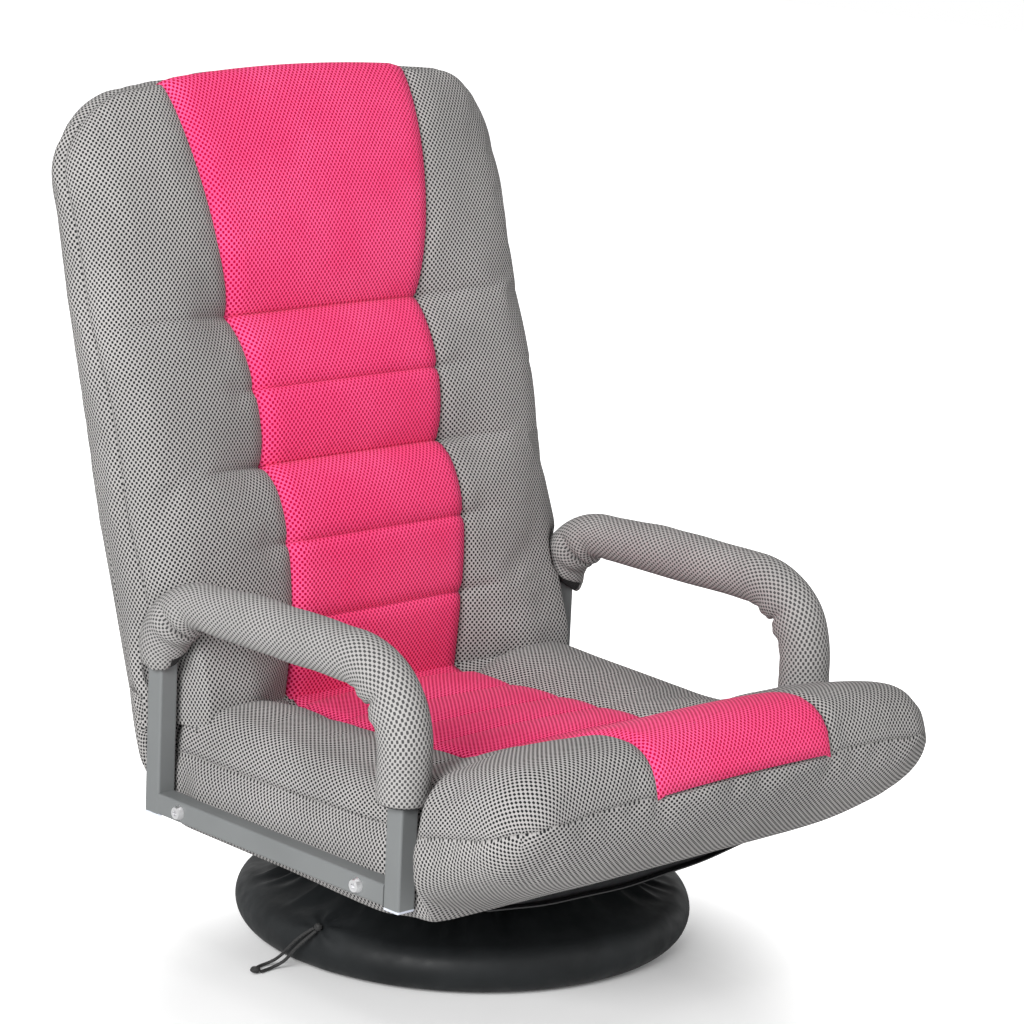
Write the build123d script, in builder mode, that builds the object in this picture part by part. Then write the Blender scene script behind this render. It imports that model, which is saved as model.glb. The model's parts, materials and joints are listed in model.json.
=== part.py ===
import math
import os

from build123d import *

# Frame of the part: the origin is on the swivel axis at floor level, the sitter faces -Y and +Z is up.

# Round foot
base_radius = 215.0  # outer radius of the covered rim
rim_radius = 23.0  # roundness of the covered rim
cover_skin = 1.5  # coated cloth
cover_sag_radius = 150.0  # where the cloth dips between rim and neck
cover_sag_height = 62.0
cover_neck_height = 97.0
cover_neck_clearance = 6.0  # edge of the cloth to the corners of the lower plate
cover_neck_edge = 2.1  # cut edge of the sloping cloth
ring_dia = 25.0  # steel ring tube inside the rim
ring_wall = 1.5
ring_vent_dia = 5.0
foot_bar_size = 20.0  # bent square tubes that carry the swivel
foot_bar_wall = 1.5
foot_bar_height = 82.0  # tube centre at the hub
foot_bar_foot = 145.0  # radius where the tube starts to rise
foot_bar_knee = 105.0  # radius where it levels out
foot_bar_bend = 28.0

# Swivel
plate_size = 150.0
plate_corner = 12.5
plate_thick = 3.0
plate_space = 9.0  # clear height between the two plates
race_radius = 40.0
ball_dia = 8.6
ball_count = 16
cage_width = 14.0
cage_thick = 2.5
pivot_dia = 12.0
pivot_flange_dia = 28.0
pivot_flange_thick = 2.0
pivot_head_dia = 20.0
pivot_head_thick = 2.7
foot_bolt_reach = 60.0
plate_bolt_dia = 6.0
plate_bolt_head = 10.0
plate_bolt_head_thick = 4.0
plate_nut_thick = 5.0
plate_bolt_tail = 2.0  # thread past the nut
seat_bolt_length = 16.0

# Arms
arm_outer_half = 262.0  # outer face of the arm tubes from the middle of the chair
tube_size = 20.0
tube_wall = 1.5
tube_corner = 2.5  # outer corner radius of the arm tubes
arm_front = -198.0  # front face of the front post
arm_rear = 155.0  # rear face of the rear post
arm_bottom = 117.0
arm_top_centre = 325.0
arm_front_bend = 70.0
arm_rear_bend = 60.0
sleeve_dia = 48.0
sleeve_skin = 1.8
sleeve_front_end = 205.0
sleeve_rear_end = 262.0
cap_thick = 2.0
cap_plug_depth = 10.0
rail_bolt_inset_front = 34.0  # from the rear face of the front post
rail_bolt_inset_rear = 31.0  # from the front face of the rear post
arm_bolt_dia = 8.0
arm_bolt_head = 14.0
arm_bolt_head_thick = 4.6
arm_bolt_head_taper = 18.0  # degrees
arm_bolt_socket = 5.0
arm_bolt_socket_depth = 2.6
arm_nut_size = 13.0
arm_nut_thick = 6.5
spacer_length = 10.0
spacer_dia = 14.0

# Seat
seat_arm_gap = 4.0  # pad to the inner faces of the arm tubes
sleeve_side_gap = 6.0  # pads to the arm sleeves
seat_upper_from = 202.0
seat_bottom = 105.0
seat_rear = 122.0
seat_rear_top = 192.0
seat_mid = 0.0
seat_mid_top = 199.0
seat_notch = -125.0
seat_notch_top = 210.0
roll_split = -216.0  # front roll starts ahead of the front posts
roll_split_top = 243.0
roll_crest = -299.0
roll_crest_top = 275.0
roll_front = -360.0
roll_front_height = 226.0
roll_under = -346.0  # end of the sloping underside
roll_under_height = 199.0
roll_under_start = 112.0
roll_overhang = 4.0  # front roll beyond the arm tubes
roll_corner = 34.0
roll_swell = 2.0  # how far the front curve swells past the tip
seat_frame_front = -185.0
front_tube_inset = 15.0
rear_tube_centre = 80.0
swivel_bar_spread = 50.0
swivel_bar_width = 20.0
swivel_bolt_spread = 60.0
webbing_thick = 1.5
webbing_width = 50.0
seat_webbing_count = 4
seat_webbing_pitch = 68.0
seat_webbing_rear = 64.0
seat_zip_length = 330.0
seat_zip_width = 12.0
seat_zip_thick = 2.0
swivel_opening_margin = 4.0
swivel_opening_corner = 15.8
pocket_clearance = 0.5  # above the webbing
frame_margin = 1.0  # pockets beyond the ends of the frames

# Hinges between seat and back
recline = 17.3  # lean of the back at rest, degrees
hinge_y = 125.0
hinge_z = 214.0
leaf_thick = 3.0
leaf_gap = 0.4
leaf_eye_radius = 14.0
leaf_foot_width = 28.0
hinge_pin_dia = 10.0
hinge_pin_head = 16.0
hinge_pin_head_thick = 3.7
ratchet_radius = 16.0
ratchet_tooth = 2.5
ratchet_teeth = 20
ratchet_thick = 4.6
pawl_reach = 27.0
pawl_angle = 250.0  # direction from the hinge pin, degrees from the rear towards up
pawl_eye_radius = 5.0
pawl_pin_dia = 5.0
pawl_gap = 0.5
hinge_clearance_radius = 18.5
hinge_slot_margin = 2.0
leaf_foot_inset = 1.0
pawl_nose_half_width = 1.0

# Back, measured along its lean from the hinge pin: "up" along it, "in" towards the rear
back_foot = 12.0
back_rear = 76.0
back_top = 586.0
back_crown = 42.0  # depth of the highest line of the back
back_overhang = 2.0  # back beyond the arm tubes
back_wide_from = 365.0
back_corner = 62.0
lumbar_low_up = 40.0
lumbar_low_in = -26.0
lumbar_start_up = 75.0
lumbar_start_in = -25.0
lumbar_crest_up = 137.0
lumbar_crest_in = -28.0
waist_crease_up = 211.0
waist_crease_in = -2.0
shoulder_crest_up = 283.0
shoulder_crest_in = -22.0
neck_crease_up = 355.0
neck_crease_in = 3.0
head_crest_up = 470.0
head_crest_in = -14.0
head_edge_up = 572.0
head_edge_in = 8.0
back_foot_front = 25.0
back_side_wall = 9.0  # padding beside the frame's pocket
back_pocket_front = 33.0
back_pocket_top = 565.0
back_panel_front = 70.0
back_panel_thick = 4.0
back_tube_centre = 45.0
back_tube_foot = 30.0
back_tube_top = 545.0
back_tube_bend = 60.0
back_leaf_start = 40.0
back_leaf_end = 95.0
back_slot_margin = 4.0
back_bar_heights = (60.0, 215.0, 370.0)
back_webbing_count = 6
back_webbing_first = 110.0
back_webbing_pitch = 74.0
back_zip_length = 360.0
back_zip_width = 12.0
back_zip_thick = 2.0
back_zip_up = 300.0
crease_front_up = 5.0  # soft lower edge of the back, above the seat
crease_front_in = -20.0
crease_low_up = -8.0
crease_low_in = 0.0
crease_rear_up = -4.0
crease_rear_in = 20.0
gusset_gap = 4.0  # behind the seat pad
gusset_foot = 14.0
gusset_bulge_inset = 16.0
gusset_bulge_height = 157.0
wing_arm_margin = 4.0
wing_post_margin = 9.0

# Coloured centre panels, sewn into the covers of seat and back
panel_skin = 3.0
seat_panel_half_width = 111.0
seat_panel_rear = 112.0
roll_panel_low = 232.0
back_panel_top_half_width = 145.0
back_panel_neck_half_width = 117.0
back_panel_foot_half_width = 110.0

# Drawstring of the foot cover
cord_dia = 3.0
cord_bend_share = 0.45  # part of a run that a bend may take
knot_radius = 4.0
knot_azimuth = 188.6  # where the drawstring leaves the cover, degrees
knot_slope = 51.0  # up the rim from its outermost line, degrees
end_knot = (-250.5, 2.5)
end_knot_radius = 5.0
end_knot_height = 6.0
end_knot_round = 2.4

# Clearances
soft_gap = 0.3  # soft pieces to their neighbours
run_gap = 0.05  # pins in their eyes
bolt_gap = 0.3  # bolts in their holes
tube_gap = 0.2  # foam on the arm tubes

# Derived places
ring_path_radius = base_radius - rim_radius
hub_top = foot_bar_height + foot_bar_size / 2
lower_plate_top = hub_top + plate_thick
upper_plate_bottom = lower_plate_top + plate_space
upper_plate_top = upper_plate_bottom + plate_thick
cover_neck_radius = plate_size / math.sqrt(2) + cover_neck_clearance
arm_x = arm_outer_half - tube_size / 2
arm_inner = arm_outer_half - tube_size
sleeve_inner = arm_x - sleeve_dia / 2
seat_half_width = arm_inner - seat_arm_gap
seat_upper_half_width = sleeve_inner - sleeve_side_gap
roll_half_width = arm_outer_half + roll_overhang
back_half_width = arm_outer_half + back_overhang
back_core_half_width = sleeve_inner - sleeve_side_gap
back_pocket_half_width = back_core_half_width - back_side_wall
front_post_y = arm_front + tube_size / 2
rear_post_y = arm_rear - tube_size / 2
rail_z = arm_bottom + tube_size / 2
rail_top = arm_bottom + tube_size
rail_bolts_y = (
    arm_front + tube_size + rail_bolt_inset_front,
    arm_rear - tube_size - rail_bolt_inset_rear,
)
side_outer = arm_inner - spacer_length
side_x = side_outer - tube_size / 2
side_inner = side_outer - tube_size
seat_leaf_inner = side_inner - leaf_thick
back_leaf_outer = seat_leaf_inner - leaf_gap
back_leaf_inner = back_leaf_outer - leaf_thick
back_tube_x = back_leaf_inner - tube_size / 2
ratchet_inner = back_leaf_inner - ratchet_thick
pocket_top = rail_top + webbing_thick + pocket_clearance
hinge_slot_inner = ratchet_inner - hinge_pin_head_thick - hinge_slot_margin
hinge_slot_outer = side_inner + hinge_pin_head_thick + hinge_slot_margin
lean = math.radians(recline)

# Plane of the back: x across, y up along the lean, normal towards the sitter
back_plane = Plane(
    origin=(0, hinge_y, hinge_z),
    x_dir=(1, 0, 0),
    z_dir=(0, -math.cos(lean), math.sin(lean)),
)
# Side view of the back: x towards the rear, y up along the lean
back_side = Plane(
    origin=(0, hinge_y, hinge_z),
    x_dir=(0, math.cos(lean), -math.sin(lean)),
    z_dir=(1, 0, 0),
)

os.makedirs("parts", exist_ok=True)


def save(piece, node):
    piece.label = node
    export_step(piece, f"parts/{node}.step")


def at_back(up, inward):
    """Height and depth on the back as (y, z) of the chair."""
    y = hinge_y + up * math.sin(lean) + inward * math.cos(lean)
    z = hinge_z + up * math.cos(lean) - inward * math.sin(lean)
    return (y, z)


# Steel ring in the rim, with a vent hole underneath
with BuildPart() as base_ring:
    with BuildSketch(Plane.XZ):
        with Locations((ring_path_radius, rim_radius)):
            Circle(ring_dia / 2)
            Circle(ring_dia / 2 - ring_wall, mode=Mode.SUBTRACT)
    revolve(axis=Axis.Z)
    with BuildSketch(Plane.XY.offset(rim_radius - ring_dia / 2 - ring_wall)):
        with PolarLocations(ring_path_radius, 1, start_angle=45):
            Circle(ring_vent_dia / 2)
    extrude(amount=3 * ring_wall, mode=Mode.SUBTRACT)
save(base_ring.part, "base_ring")

# Two bent tubes crossing under the swivel, coped to the ring
foot_bar_points = (
    (-ring_path_radius, rim_radius),
    (-foot_bar_foot, rim_radius),
    (-foot_bar_knee, foot_bar_height),
    (foot_bar_knee, foot_bar_height),
    (foot_bar_foot, rim_radius),
    (ring_path_radius, rim_radius),
)
foot_bolt_places = [
    (foot_bolt_reach, 0),
    (-foot_bolt_reach, 0),
    (0, foot_bolt_reach),
    (0, -foot_bolt_reach),
]
with BuildPart() as base_cross_bars:
    for width, mode in (
        (foot_bar_size, Mode.ADD),
        (foot_bar_size - 2 * foot_bar_wall, Mode.SUBTRACT),
    ):
        for upright, along in ((Plane.XZ, (1, 0, 0)), (Plane.YZ, (0, 1, 0))):
            with BuildLine(upright):
                FilletPolyline(*foot_bar_points, radius=foot_bar_bend)
            start = Vector(*along) * -ring_path_radius + Vector(0, 0, rim_radius)
            with BuildSketch(Plane(start, x_dir=(0, 0, 1), z_dir=along)):
                Rectangle(width, width)
            sweep(mode=mode)
    with BuildSketch(Plane.XZ):
        with Locations((ring_path_radius, rim_radius)):
            Circle(ring_dia / 2)
    revolve(axis=Axis.Z, mode=Mode.SUBTRACT)
    with BuildSketch(Plane.XY.offset(hub_top)):
        with Locations(*foot_bolt_places):
            Circle(plate_bolt_dia / 2 + bolt_gap)
    extrude(amount=-2 * foot_bar_size, mode=Mode.SUBTRACT)
save(base_cross_bars.part, "base_cross_bars")

# Foam around the ring, slotted for the bars
foam_slot = foot_bar_size + 2 * soft_gap
with BuildPart() as base_rim_foam:
    with BuildSketch(Plane.XZ):
        with Locations((ring_path_radius, rim_radius)):
            Circle(rim_radius - cover_skin - soft_gap)
            Circle(ring_dia / 2 + soft_gap, mode=Mode.SUBTRACT)
    revolve(axis=Axis.Z)
    with Locations((0, 0, rim_radius)):
        Box(2 * ring_path_radius, foam_slot, foam_slot, mode=Mode.SUBTRACT)
        Box(foam_slot, 2 * ring_path_radius, foam_slot, mode=Mode.SUBTRACT)
save(base_rim_foam.part, "base_rim_foam")

# Coated cloth over rim and slope, up to the neck around the swivel
with BuildPart() as base_cover:
    with BuildSketch(Plane.XZ):
        with BuildLine():
            rim_out = ThreePointArc(
                (ring_path_radius, 0),
                (base_radius, rim_radius),
                (ring_path_radius, 2 * rim_radius),
            )
            slope_out = ThreePointArc(
                rim_out @ 1,
                (cover_sag_radius, cover_sag_height),
                (cover_neck_radius, cover_neck_height),
            )
            neck = Line(slope_out @ 1, (cover_neck_radius, cover_neck_height - cover_neck_edge))
            slope_in = ThreePointArc(
                neck @ 1,
                (cover_sag_radius, cover_sag_height - cover_skin),
                (ring_path_radius, 2 * rim_radius - cover_skin),
            )
            rim_in = ThreePointArc(
                slope_in @ 1,
                (base_radius - cover_skin, rim_radius),
                (ring_path_radius, cover_skin),
            )
            Line(rim_in @ 1, rim_out @ 0)
        make_face()
    revolve(axis=Axis.Z)
save(base_cover.part, "base_cover")

# Flat bottom cloth that the chair stands on
with BuildPart() as base_bottom_panel:
    with BuildSketch():
        Circle(ring_path_radius - soft_gap)
    extrude(amount=cover_skin)
save(base_bottom_panel.part, "base_bottom_panel")

# Lower swivel plate on the crossing of the bars
with BuildPart() as swivel_lower_plate:
    with BuildSketch(Plane.XY.offset(hub_top)):
        RectangleRounded(plate_size, plate_size, plate_corner)
        with Locations(*foot_bolt_places):
            Circle(plate_bolt_dia / 2 + bolt_gap, mode=Mode.SUBTRACT)
    extrude(amount=plate_thick)
save(swivel_lower_plate.part, "swivel_lower_plate")

# Hexagon bolts that hold the lower plate, and their nuts
with BuildPart() as base_bolts:
    with BuildSketch(Plane.XY.offset(lower_plate_top)):
        with Locations(*foot_bolt_places):
            RegularPolygon(plate_bolt_head / 2, 6, major_radius=False)
    extrude(amount=plate_bolt_head_thick)
    with BuildSketch(Plane.XY.offset(lower_plate_top)):
        with Locations(*foot_bolt_places):
            Circle(plate_bolt_dia / 2)
    extrude(amount=-(plate_thick + foot_bar_size + plate_nut_thick + plate_bolt_tail))
save(base_bolts.part, "base_bolts")

with BuildPart() as base_nuts:
    with BuildSketch(Plane.XY.offset(hub_top - foot_bar_size)):
        with Locations(*foot_bolt_places):
            RegularPolygon(plate_bolt_head / 2, 6, major_radius=False)
            Circle(plate_bolt_dia / 2 + run_gap, mode=Mode.SUBTRACT)
    extrude(amount=-plate_nut_thick)
save(base_nuts.part, "base_nuts")

# Ball race between the plates
ball_z = lower_plate_top + run_gap + ball_dia / 2
with BuildPart() as swivel_balls:
    with Locations((0, 0, ball_z)):
        with PolarLocations(race_radius, ball_count):
            Sphere(ball_dia / 2)
save(swivel_balls.part, "swivel_balls")

with BuildPart() as swivel_ball_cage:
    with BuildSketch(Plane.XY.offset(ball_z - cage_thick / 2)):
        Circle(race_radius + cage_width / 2)
        Circle(race_radius - cage_width / 2, mode=Mode.SUBTRACT)
        with PolarLocations(race_radius, ball_count):
            Circle(ball_dia / 2 + run_gap, mode=Mode.SUBTRACT)
    extrude(amount=cage_thick)
save(swivel_ball_cage.part, "swivel_ball_cage")

# Centre pivot, welded to the lower plate by its flange, with a head that keeps the seat on
with BuildPart() as swivel_pivot:
    with BuildSketch(Plane.XY.offset(lower_plate_top)):
        Circle(pivot_flange_dia / 2)
    extrude(amount=pivot_flange_thick)
    with BuildSketch(Plane.XY.offset(lower_plate_top)):
        Circle(pivot_dia / 2)
    extrude(amount=plate_space + plate_thick + soft_gap)
    with BuildSketch(Plane.XY.offset(upper_plate_top + soft_gap)):
        Circle(pivot_head_dia / 2)
    extrude(amount=pivot_head_thick)
save(swivel_pivot.part, "swivel_pivot")

# Upper swivel plate, bolted up into the seat's swivel bars
seat_bolt_places = [
    (side * swivel_bolt_spread, end * swivel_bar_spread) for side in (-1, 1) for end in (-1, 1)
]
with BuildPart() as swivel_upper_plate:
    with BuildSketch(Plane.XY.offset(upper_plate_bottom)):
        RectangleRounded(plate_size, plate_size, plate_corner)
        Circle(pivot_dia / 2 + run_gap, mode=Mode.SUBTRACT)
        with Locations(*seat_bolt_places):
            Circle(plate_bolt_dia / 2 + bolt_gap, mode=Mode.SUBTRACT)
    extrude(amount=plate_thick)
save(swivel_upper_plate.part, "swivel_upper_plate")

with BuildPart() as seat_bolts:
    with BuildSketch(Plane.XY.offset(upper_plate_bottom)):
        with Locations(*seat_bolt_places):
            RegularPolygon(plate_bolt_head / 2, 6, major_radius=False)
    extrude(amount=-plate_bolt_head_thick)
    with BuildSketch(Plane.XY.offset(upper_plate_bottom)):
        with Locations(*seat_bolt_places):
            Circle(plate_bolt_dia / 2)
    extrude(amount=seat_bolt_length)
save(seat_bolts.part, "seat_bolts")

# Swivel bars across the seat frame, upright rectangular tube resting on the upper plate
swivel_bar_height = rail_top - upper_plate_top
swivel_bar_centre = upper_plate_top + swivel_bar_height / 2
with BuildPart() as seat_swivel_bars:
    for size_loss, mode in ((0, Mode.ADD), (2 * tube_wall, Mode.SUBTRACT)):
        with BuildSketch(Plane.YZ.offset(-side_inner)):
            with Locations(*[(end * swivel_bar_spread, swivel_bar_centre) for end in (-1, 1)]):
                Rectangle(swivel_bar_width - size_loss, swivel_bar_height - size_loss)
        extrude(amount=2 * side_inner, mode=mode)
    with BuildSketch(Plane.XY.offset(upper_plate_top)):
        with Locations(*seat_bolt_places):
            Circle(plate_bolt_dia / 2 + bolt_gap)
    extrude(amount=2 * tube_wall, mode=Mode.SUBTRACT)
save(seat_swivel_bars.part, "seat_swivel_bars")

# Seat frame: two side tubes and two cross tubes, welded
seat_frame_length = seat_rear - seat_frame_front
seat_frame_mid = (seat_rear + seat_frame_front) / 2
front_tube_y = seat_frame_front + front_tube_inset
with BuildPart() as seat_frame:
    for size_loss, mode in ((0, Mode.ADD), (2 * tube_wall, Mode.SUBTRACT)):
        section = tube_size - size_loss
        for side in (-1, 1):
            with Locations((side * side_x, seat_frame_mid, rail_z)):
                Box(section, seat_frame_length, section, mode=mode)
        for cross_y in (front_tube_y, rear_tube_centre):
            with Locations((0, cross_y, rail_z)):
                Box(2 * side_inner, section, section, mode=mode)
    with BuildSketch(Plane.YZ.offset(-arm_outer_half)):
        with Locations(*[(y, rail_z) for y in rail_bolts_y]):
            Circle(arm_bolt_dia / 2 + bolt_gap)
    extrude(amount=2 * arm_outer_half, mode=Mode.SUBTRACT)
save(seat_frame.part, "seat_frame")

# Elastic webbing laid across the seat frame
with BuildPart() as seat_webbing:
    for i in range(seat_webbing_count):
        with Locations((0, seat_webbing_rear - i * seat_webbing_pitch, rail_top + webbing_thick / 2)):
            Box(2 * side_outer, webbing_width, webbing_thick)
save(seat_webbing.part, "seat_webbing")

# Side outline of the seat ahead of the hinges
with BuildSketch() as seat_outline:
    with BuildLine():
        under = Line((seat_rear, seat_bottom), (roll_split, seat_bottom))
        split = Line(under @ 1, (roll_split, roll_split_top))
        top = Spline(
            split @ 1,
            (seat_notch, seat_notch_top),
            (seat_mid, seat_mid_top),
            (seat_rear, seat_rear_top),
        )
        Line(top @ 1, under @ 0)
    make_face()

# Padded seat with a pocket underneath for the frame and slots for the hinges
with BuildPart() as seat_cushion:
    with BuildSketch(Plane.YZ):
        add(seat_outline.sketch)
    extrude(amount=seat_half_width, both=True)
    for side in (-1, 1):
        with BuildSketch(Plane.XY.offset(seat_upper_from)):
            with Locations((side * (seat_upper_half_width + seat_half_width) / 2, roll_split)):
                Rectangle(
                    seat_half_width - seat_upper_half_width,
                    2 * (front_post_y + sleeve_dia / 2 - roll_split + soft_gap),
                )
        extrude(amount=roll_crest_top, mode=Mode.SUBTRACT)
        hinge_slot_mid = (hinge_slot_inner + hinge_slot_outer) / 2
        hinge_slot_front = seat_rear - leaf_foot_width - arm_nut_size / 2
        with BuildSketch(Plane.XY.offset(seat_bottom)):
            with Locations((side * hinge_slot_mid, seat_rear)):
                Rectangle(hinge_slot_outer - hinge_slot_inner, 2 * (seat_rear - hinge_slot_front))
        extrude(amount=roll_crest_top, mode=Mode.SUBTRACT)
    with BuildSketch(Plane.XY.offset(seat_bottom)):
        pocket_front = seat_frame_front - frame_margin
        pocket_rear = seat_rear + 2 * frame_margin
        with Locations((0, (pocket_front + pocket_rear) / 2)):
            Rectangle(2 * (side_outer + soft_gap), pocket_rear - pocket_front)
    extrude(amount=pocket_top - seat_bottom, mode=Mode.SUBTRACT)
    with BuildSketch(Plane.YZ.offset(-arm_outer_half)):
        with Locations(*[(y, rail_z) for y in rail_bolts_y]):
            Circle(spacer_dia / 2 + soft_gap)
    extrude(amount=2 * arm_outer_half, mode=Mode.SUBTRACT)
save(seat_cushion.part, "seat_cushion")

# Coloured centre panel of the seat
with BuildPart() as seat_centre_panel:
    with BuildSketch(Plane.YZ):
        with Locations((0, panel_skin)):
            add(seat_outline.sketch)
        with Locations((0, run_gap)):
            add(seat_outline.sketch, mode=Mode.SUBTRACT)
        with Locations(((roll_split + seat_panel_rear) / 2, roll_split_top)):
            Rectangle(seat_panel_rear - roll_split, 2 * (roll_split_top - rail_top), mode=Mode.INTERSECT)
    extrude(amount=seat_panel_half_width, both=True)
save(seat_centre_panel.part, "seat_centre_panel")

# Side outline of the front roll
roll_back = roll_split - soft_gap
with BuildSketch() as roll_outline:
    with BuildLine():
        crown = Spline(
            (roll_back, roll_split_top),
            (roll_crest, roll_crest_top),
            (roll_front, roll_front_height),
            (roll_under, roll_under_height),
        )
        slope = Line(crown @ 1, (roll_back, roll_under_start))
        Line(slope @ 1, crown @ 0)
    make_face()

# Raised front roll, wider than the arms, with a sloping underside
with BuildPart() as seat_front_roll:
    with BuildSketch(Plane.YZ):
        add(roll_outline.sketch)
    extrude(amount=roll_half_width, both=True)
    with BuildSketch(Plane.XY):
        roll_length = roll_split - roll_front
        with Locations((0, roll_split)):
            RectangleRounded(2 * roll_half_width, 2 * (roll_length + roll_swell), roll_corner)
    extrude(amount=2 * roll_crest_top, mode=Mode.INTERSECT)
save(seat_front_roll.part, "seat_front_roll")

# Coloured centre panel over the roll, down to the front seam
with BuildPart() as roll_centre_panel:
    with BuildSketch(Plane.YZ):
        with Locations((-panel_skin, panel_skin)):
            add(roll_outline.sketch)
        with Locations((-run_gap, run_gap)):
            add(roll_outline.sketch, mode=Mode.SUBTRACT)
        with Locations((roll_back - roll_crest_top, roll_panel_low + roll_crest_top)):
            Rectangle(2 * roll_crest_top, 2 * roll_crest_top, mode=Mode.INTERSECT)
    extrude(amount=seat_panel_half_width, both=True)
save(roll_centre_panel.part, "roll_centre_panel")

# Bottom cloth of the seat, open around the swivel
with BuildPart() as seat_bottom_panel:
    with BuildSketch(Plane.XY.offset(seat_bottom)):
        with Locations((0, seat_frame_mid)):
            Rectangle(2 * side_outer, seat_frame_length)
        opening = plate_size + 2 * swivel_opening_margin
        RectangleRounded(opening, opening, swivel_opening_corner, mode=Mode.SUBTRACT)
    extrude(amount=cover_skin)
save(seat_bottom_panel.part, "seat_bottom_panel")

# Zip across the underside, ahead of the bottom cloth
with BuildPart() as seat_zipper:
    with BuildSketch(Plane.XY.offset(seat_bottom - run_gap)):
        with Locations((0, (roll_split + pocket_front) / 2)):
            RectangleRounded(seat_zip_length, seat_zip_width, seat_zip_width / 3)
    extrude(amount=-seat_zip_thick)
save(seat_zipper.part, "seat_zipper")


def arm_pad(x, outer, inner_size, round_hole):
    """Pad around the arm tube from the rear end of the sleeve to its front end."""
    with BuildPart() as pad:
        with BuildLine(Plane.YZ.offset(x)):
            FilletPolyline(
                (rear_post_y, sleeve_rear_end),
                (rear_post_y, arm_top_centre),
                (front_post_y, arm_top_centre),
                (front_post_y, sleeve_front_end),
                radius=[arm_rear_bend, arm_front_bend],
            )
        with BuildSketch(Plane((x, rear_post_y, sleeve_rear_end), x_dir=(1, 0, 0), z_dir=(0, 0, 1))):
            Circle(outer / 2)
            if round_hole:
                Circle(inner_size / 2, mode=Mode.SUBTRACT)
            else:
                Rectangle(inner_size, inner_size, mode=Mode.SUBTRACT)
        sweep()
    return pad.part


# Section of the arm tubes
with BuildSketch() as arm_section:
    RectangleRounded(tube_size, tube_size, tube_corner)
    tube_bore = tube_size - 2 * tube_wall
    RectangleRounded(tube_bore, tube_bore, tube_corner - tube_wall, mode=Mode.SUBTRACT)

for side, name in ((-1, "left"), (1, "right")):
    x = side * arm_x
    # Bent arm tube, open at both lower ends
    with BuildPart() as arm_tube:
        with BuildLine(Plane.YZ.offset(x)):
            FilletPolyline(
                (rear_post_y, arm_bottom),
                (rear_post_y, arm_top_centre),
                (front_post_y, arm_top_centre),
                (front_post_y, arm_bottom),
                radius=[arm_rear_bend, arm_front_bend],
            )
        with BuildSketch(Plane((x, rear_post_y, arm_bottom), x_dir=(1, 0, 0), z_dir=(0, 0, 1))):
            add(arm_section.sketch)
        sweep()
    save(arm_tube.part, f"{name}_arm_tube")

    # Lower rail welded between the posts, drilled for the arm bolts
    rail_front = arm_front + tube_size
    rail_rear = arm_rear - tube_size
    with BuildPart() as arm_rail:
        with BuildSketch(Plane((x, rail_front, rail_z), x_dir=(1, 0, 0), z_dir=(0, 1, 0))):
            add(arm_section.sketch)
        extrude(amount=rail_rear - rail_front)
        with BuildSketch(Plane.YZ.offset(x - tube_size)):
            with Locations(*[(y, rail_z) for y in rail_bolts_y]):
                Circle(arm_bolt_dia / 2 + bolt_gap)
        extrude(amount=2 * tube_size, mode=Mode.SUBTRACT)
    save(arm_rail.part, f"{name}_arm_rail")

    foam_dia = sleeve_dia - 2 * sleeve_skin
    save(arm_pad(x, foam_dia, tube_size + 2 * tube_gap, False), f"{name}_arm_foam")
    save(arm_pad(x, sleeve_dia, foam_dia + 2 * tube_gap, True), f"{name}_arm_sleeve")

# Plastic caps pressed into the lower ends of the posts
with BuildPart() as arm_end_caps:
    for side in (-1, 1):
        for y in (front_post_y, rear_post_y):
            cap_face = Plane((side * arm_x, y, arm_bottom))
            with BuildSketch(cap_face):
                RectangleRounded(tube_size, tube_size, tube_corner)
            extrude(amount=-cap_thick)
            with BuildSketch(cap_face):
                plug = tube_bore - 2 * tube_gap
                RectangleRounded(plug, plug, tube_corner - tube_wall)
            extrude(amount=cap_plug_depth)
save(arm_end_caps.part, "arm_end_caps")

# Button-head socket bolts through rail, spacer, side tube and, at the rear, hinge leaf
arm_bolt_ends = [(rail_bolts_y[0], side_inner), (rail_bolts_y[1], seat_leaf_inner)]
with BuildPart() as arm_bolts:
    for side in (-1, 1):
        outward = (side, 0, 0)
        for y, inner_end in arm_bolt_ends:
            seat_face = Plane((side * arm_outer_half, y, rail_z), x_dir=(0, 0, 1), z_dir=outward)
            with BuildSketch(seat_face):
                Circle(arm_bolt_head / 2)
            extrude(amount=arm_bolt_head_thick, taper=arm_bolt_head_taper)
            with BuildSketch(seat_face.offset(arm_bolt_head_thick)):
                RegularPolygon(arm_bolt_socket / 2, 6, major_radius=False)
            extrude(amount=-arm_bolt_socket_depth, mode=Mode.SUBTRACT)
            with BuildSketch(seat_face):
                Circle(arm_bolt_dia / 2)
            extrude(amount=-(arm_outer_half - inner_end + arm_nut_thick))
save(arm_bolts.part, "arm_bolts")

with BuildPart() as arm_nuts:
    for side in (-1, 1):
        for y, inner_end in arm_bolt_ends:
            with BuildSketch(Plane((side * inner_end, y, rail_z), x_dir=(0, 0, 1), z_dir=(side, 0, 0))):
                RegularPolygon(arm_nut_size / 2, 6, major_radius=False)
                Circle(arm_bolt_dia / 2 + run_gap, mode=Mode.SUBTRACT)
            extrude(amount=-arm_nut_thick)
save(arm_nuts.part, "arm_nuts")

with BuildPart() as arm_spacers:
    for side in (-1, 1):
        for y in rail_bolts_y:
            with BuildSketch(Plane((side * side_outer, y, rail_z), x_dir=(0, 0, 1), z_dir=(side, 0, 0))):
                Circle(spacer_dia / 2)
                Circle(arm_bolt_dia / 2 + bolt_gap, mode=Mode.SUBTRACT)
            extrude(amount=spacer_length)
save(arm_spacers.part, "arm_spacers")

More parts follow.
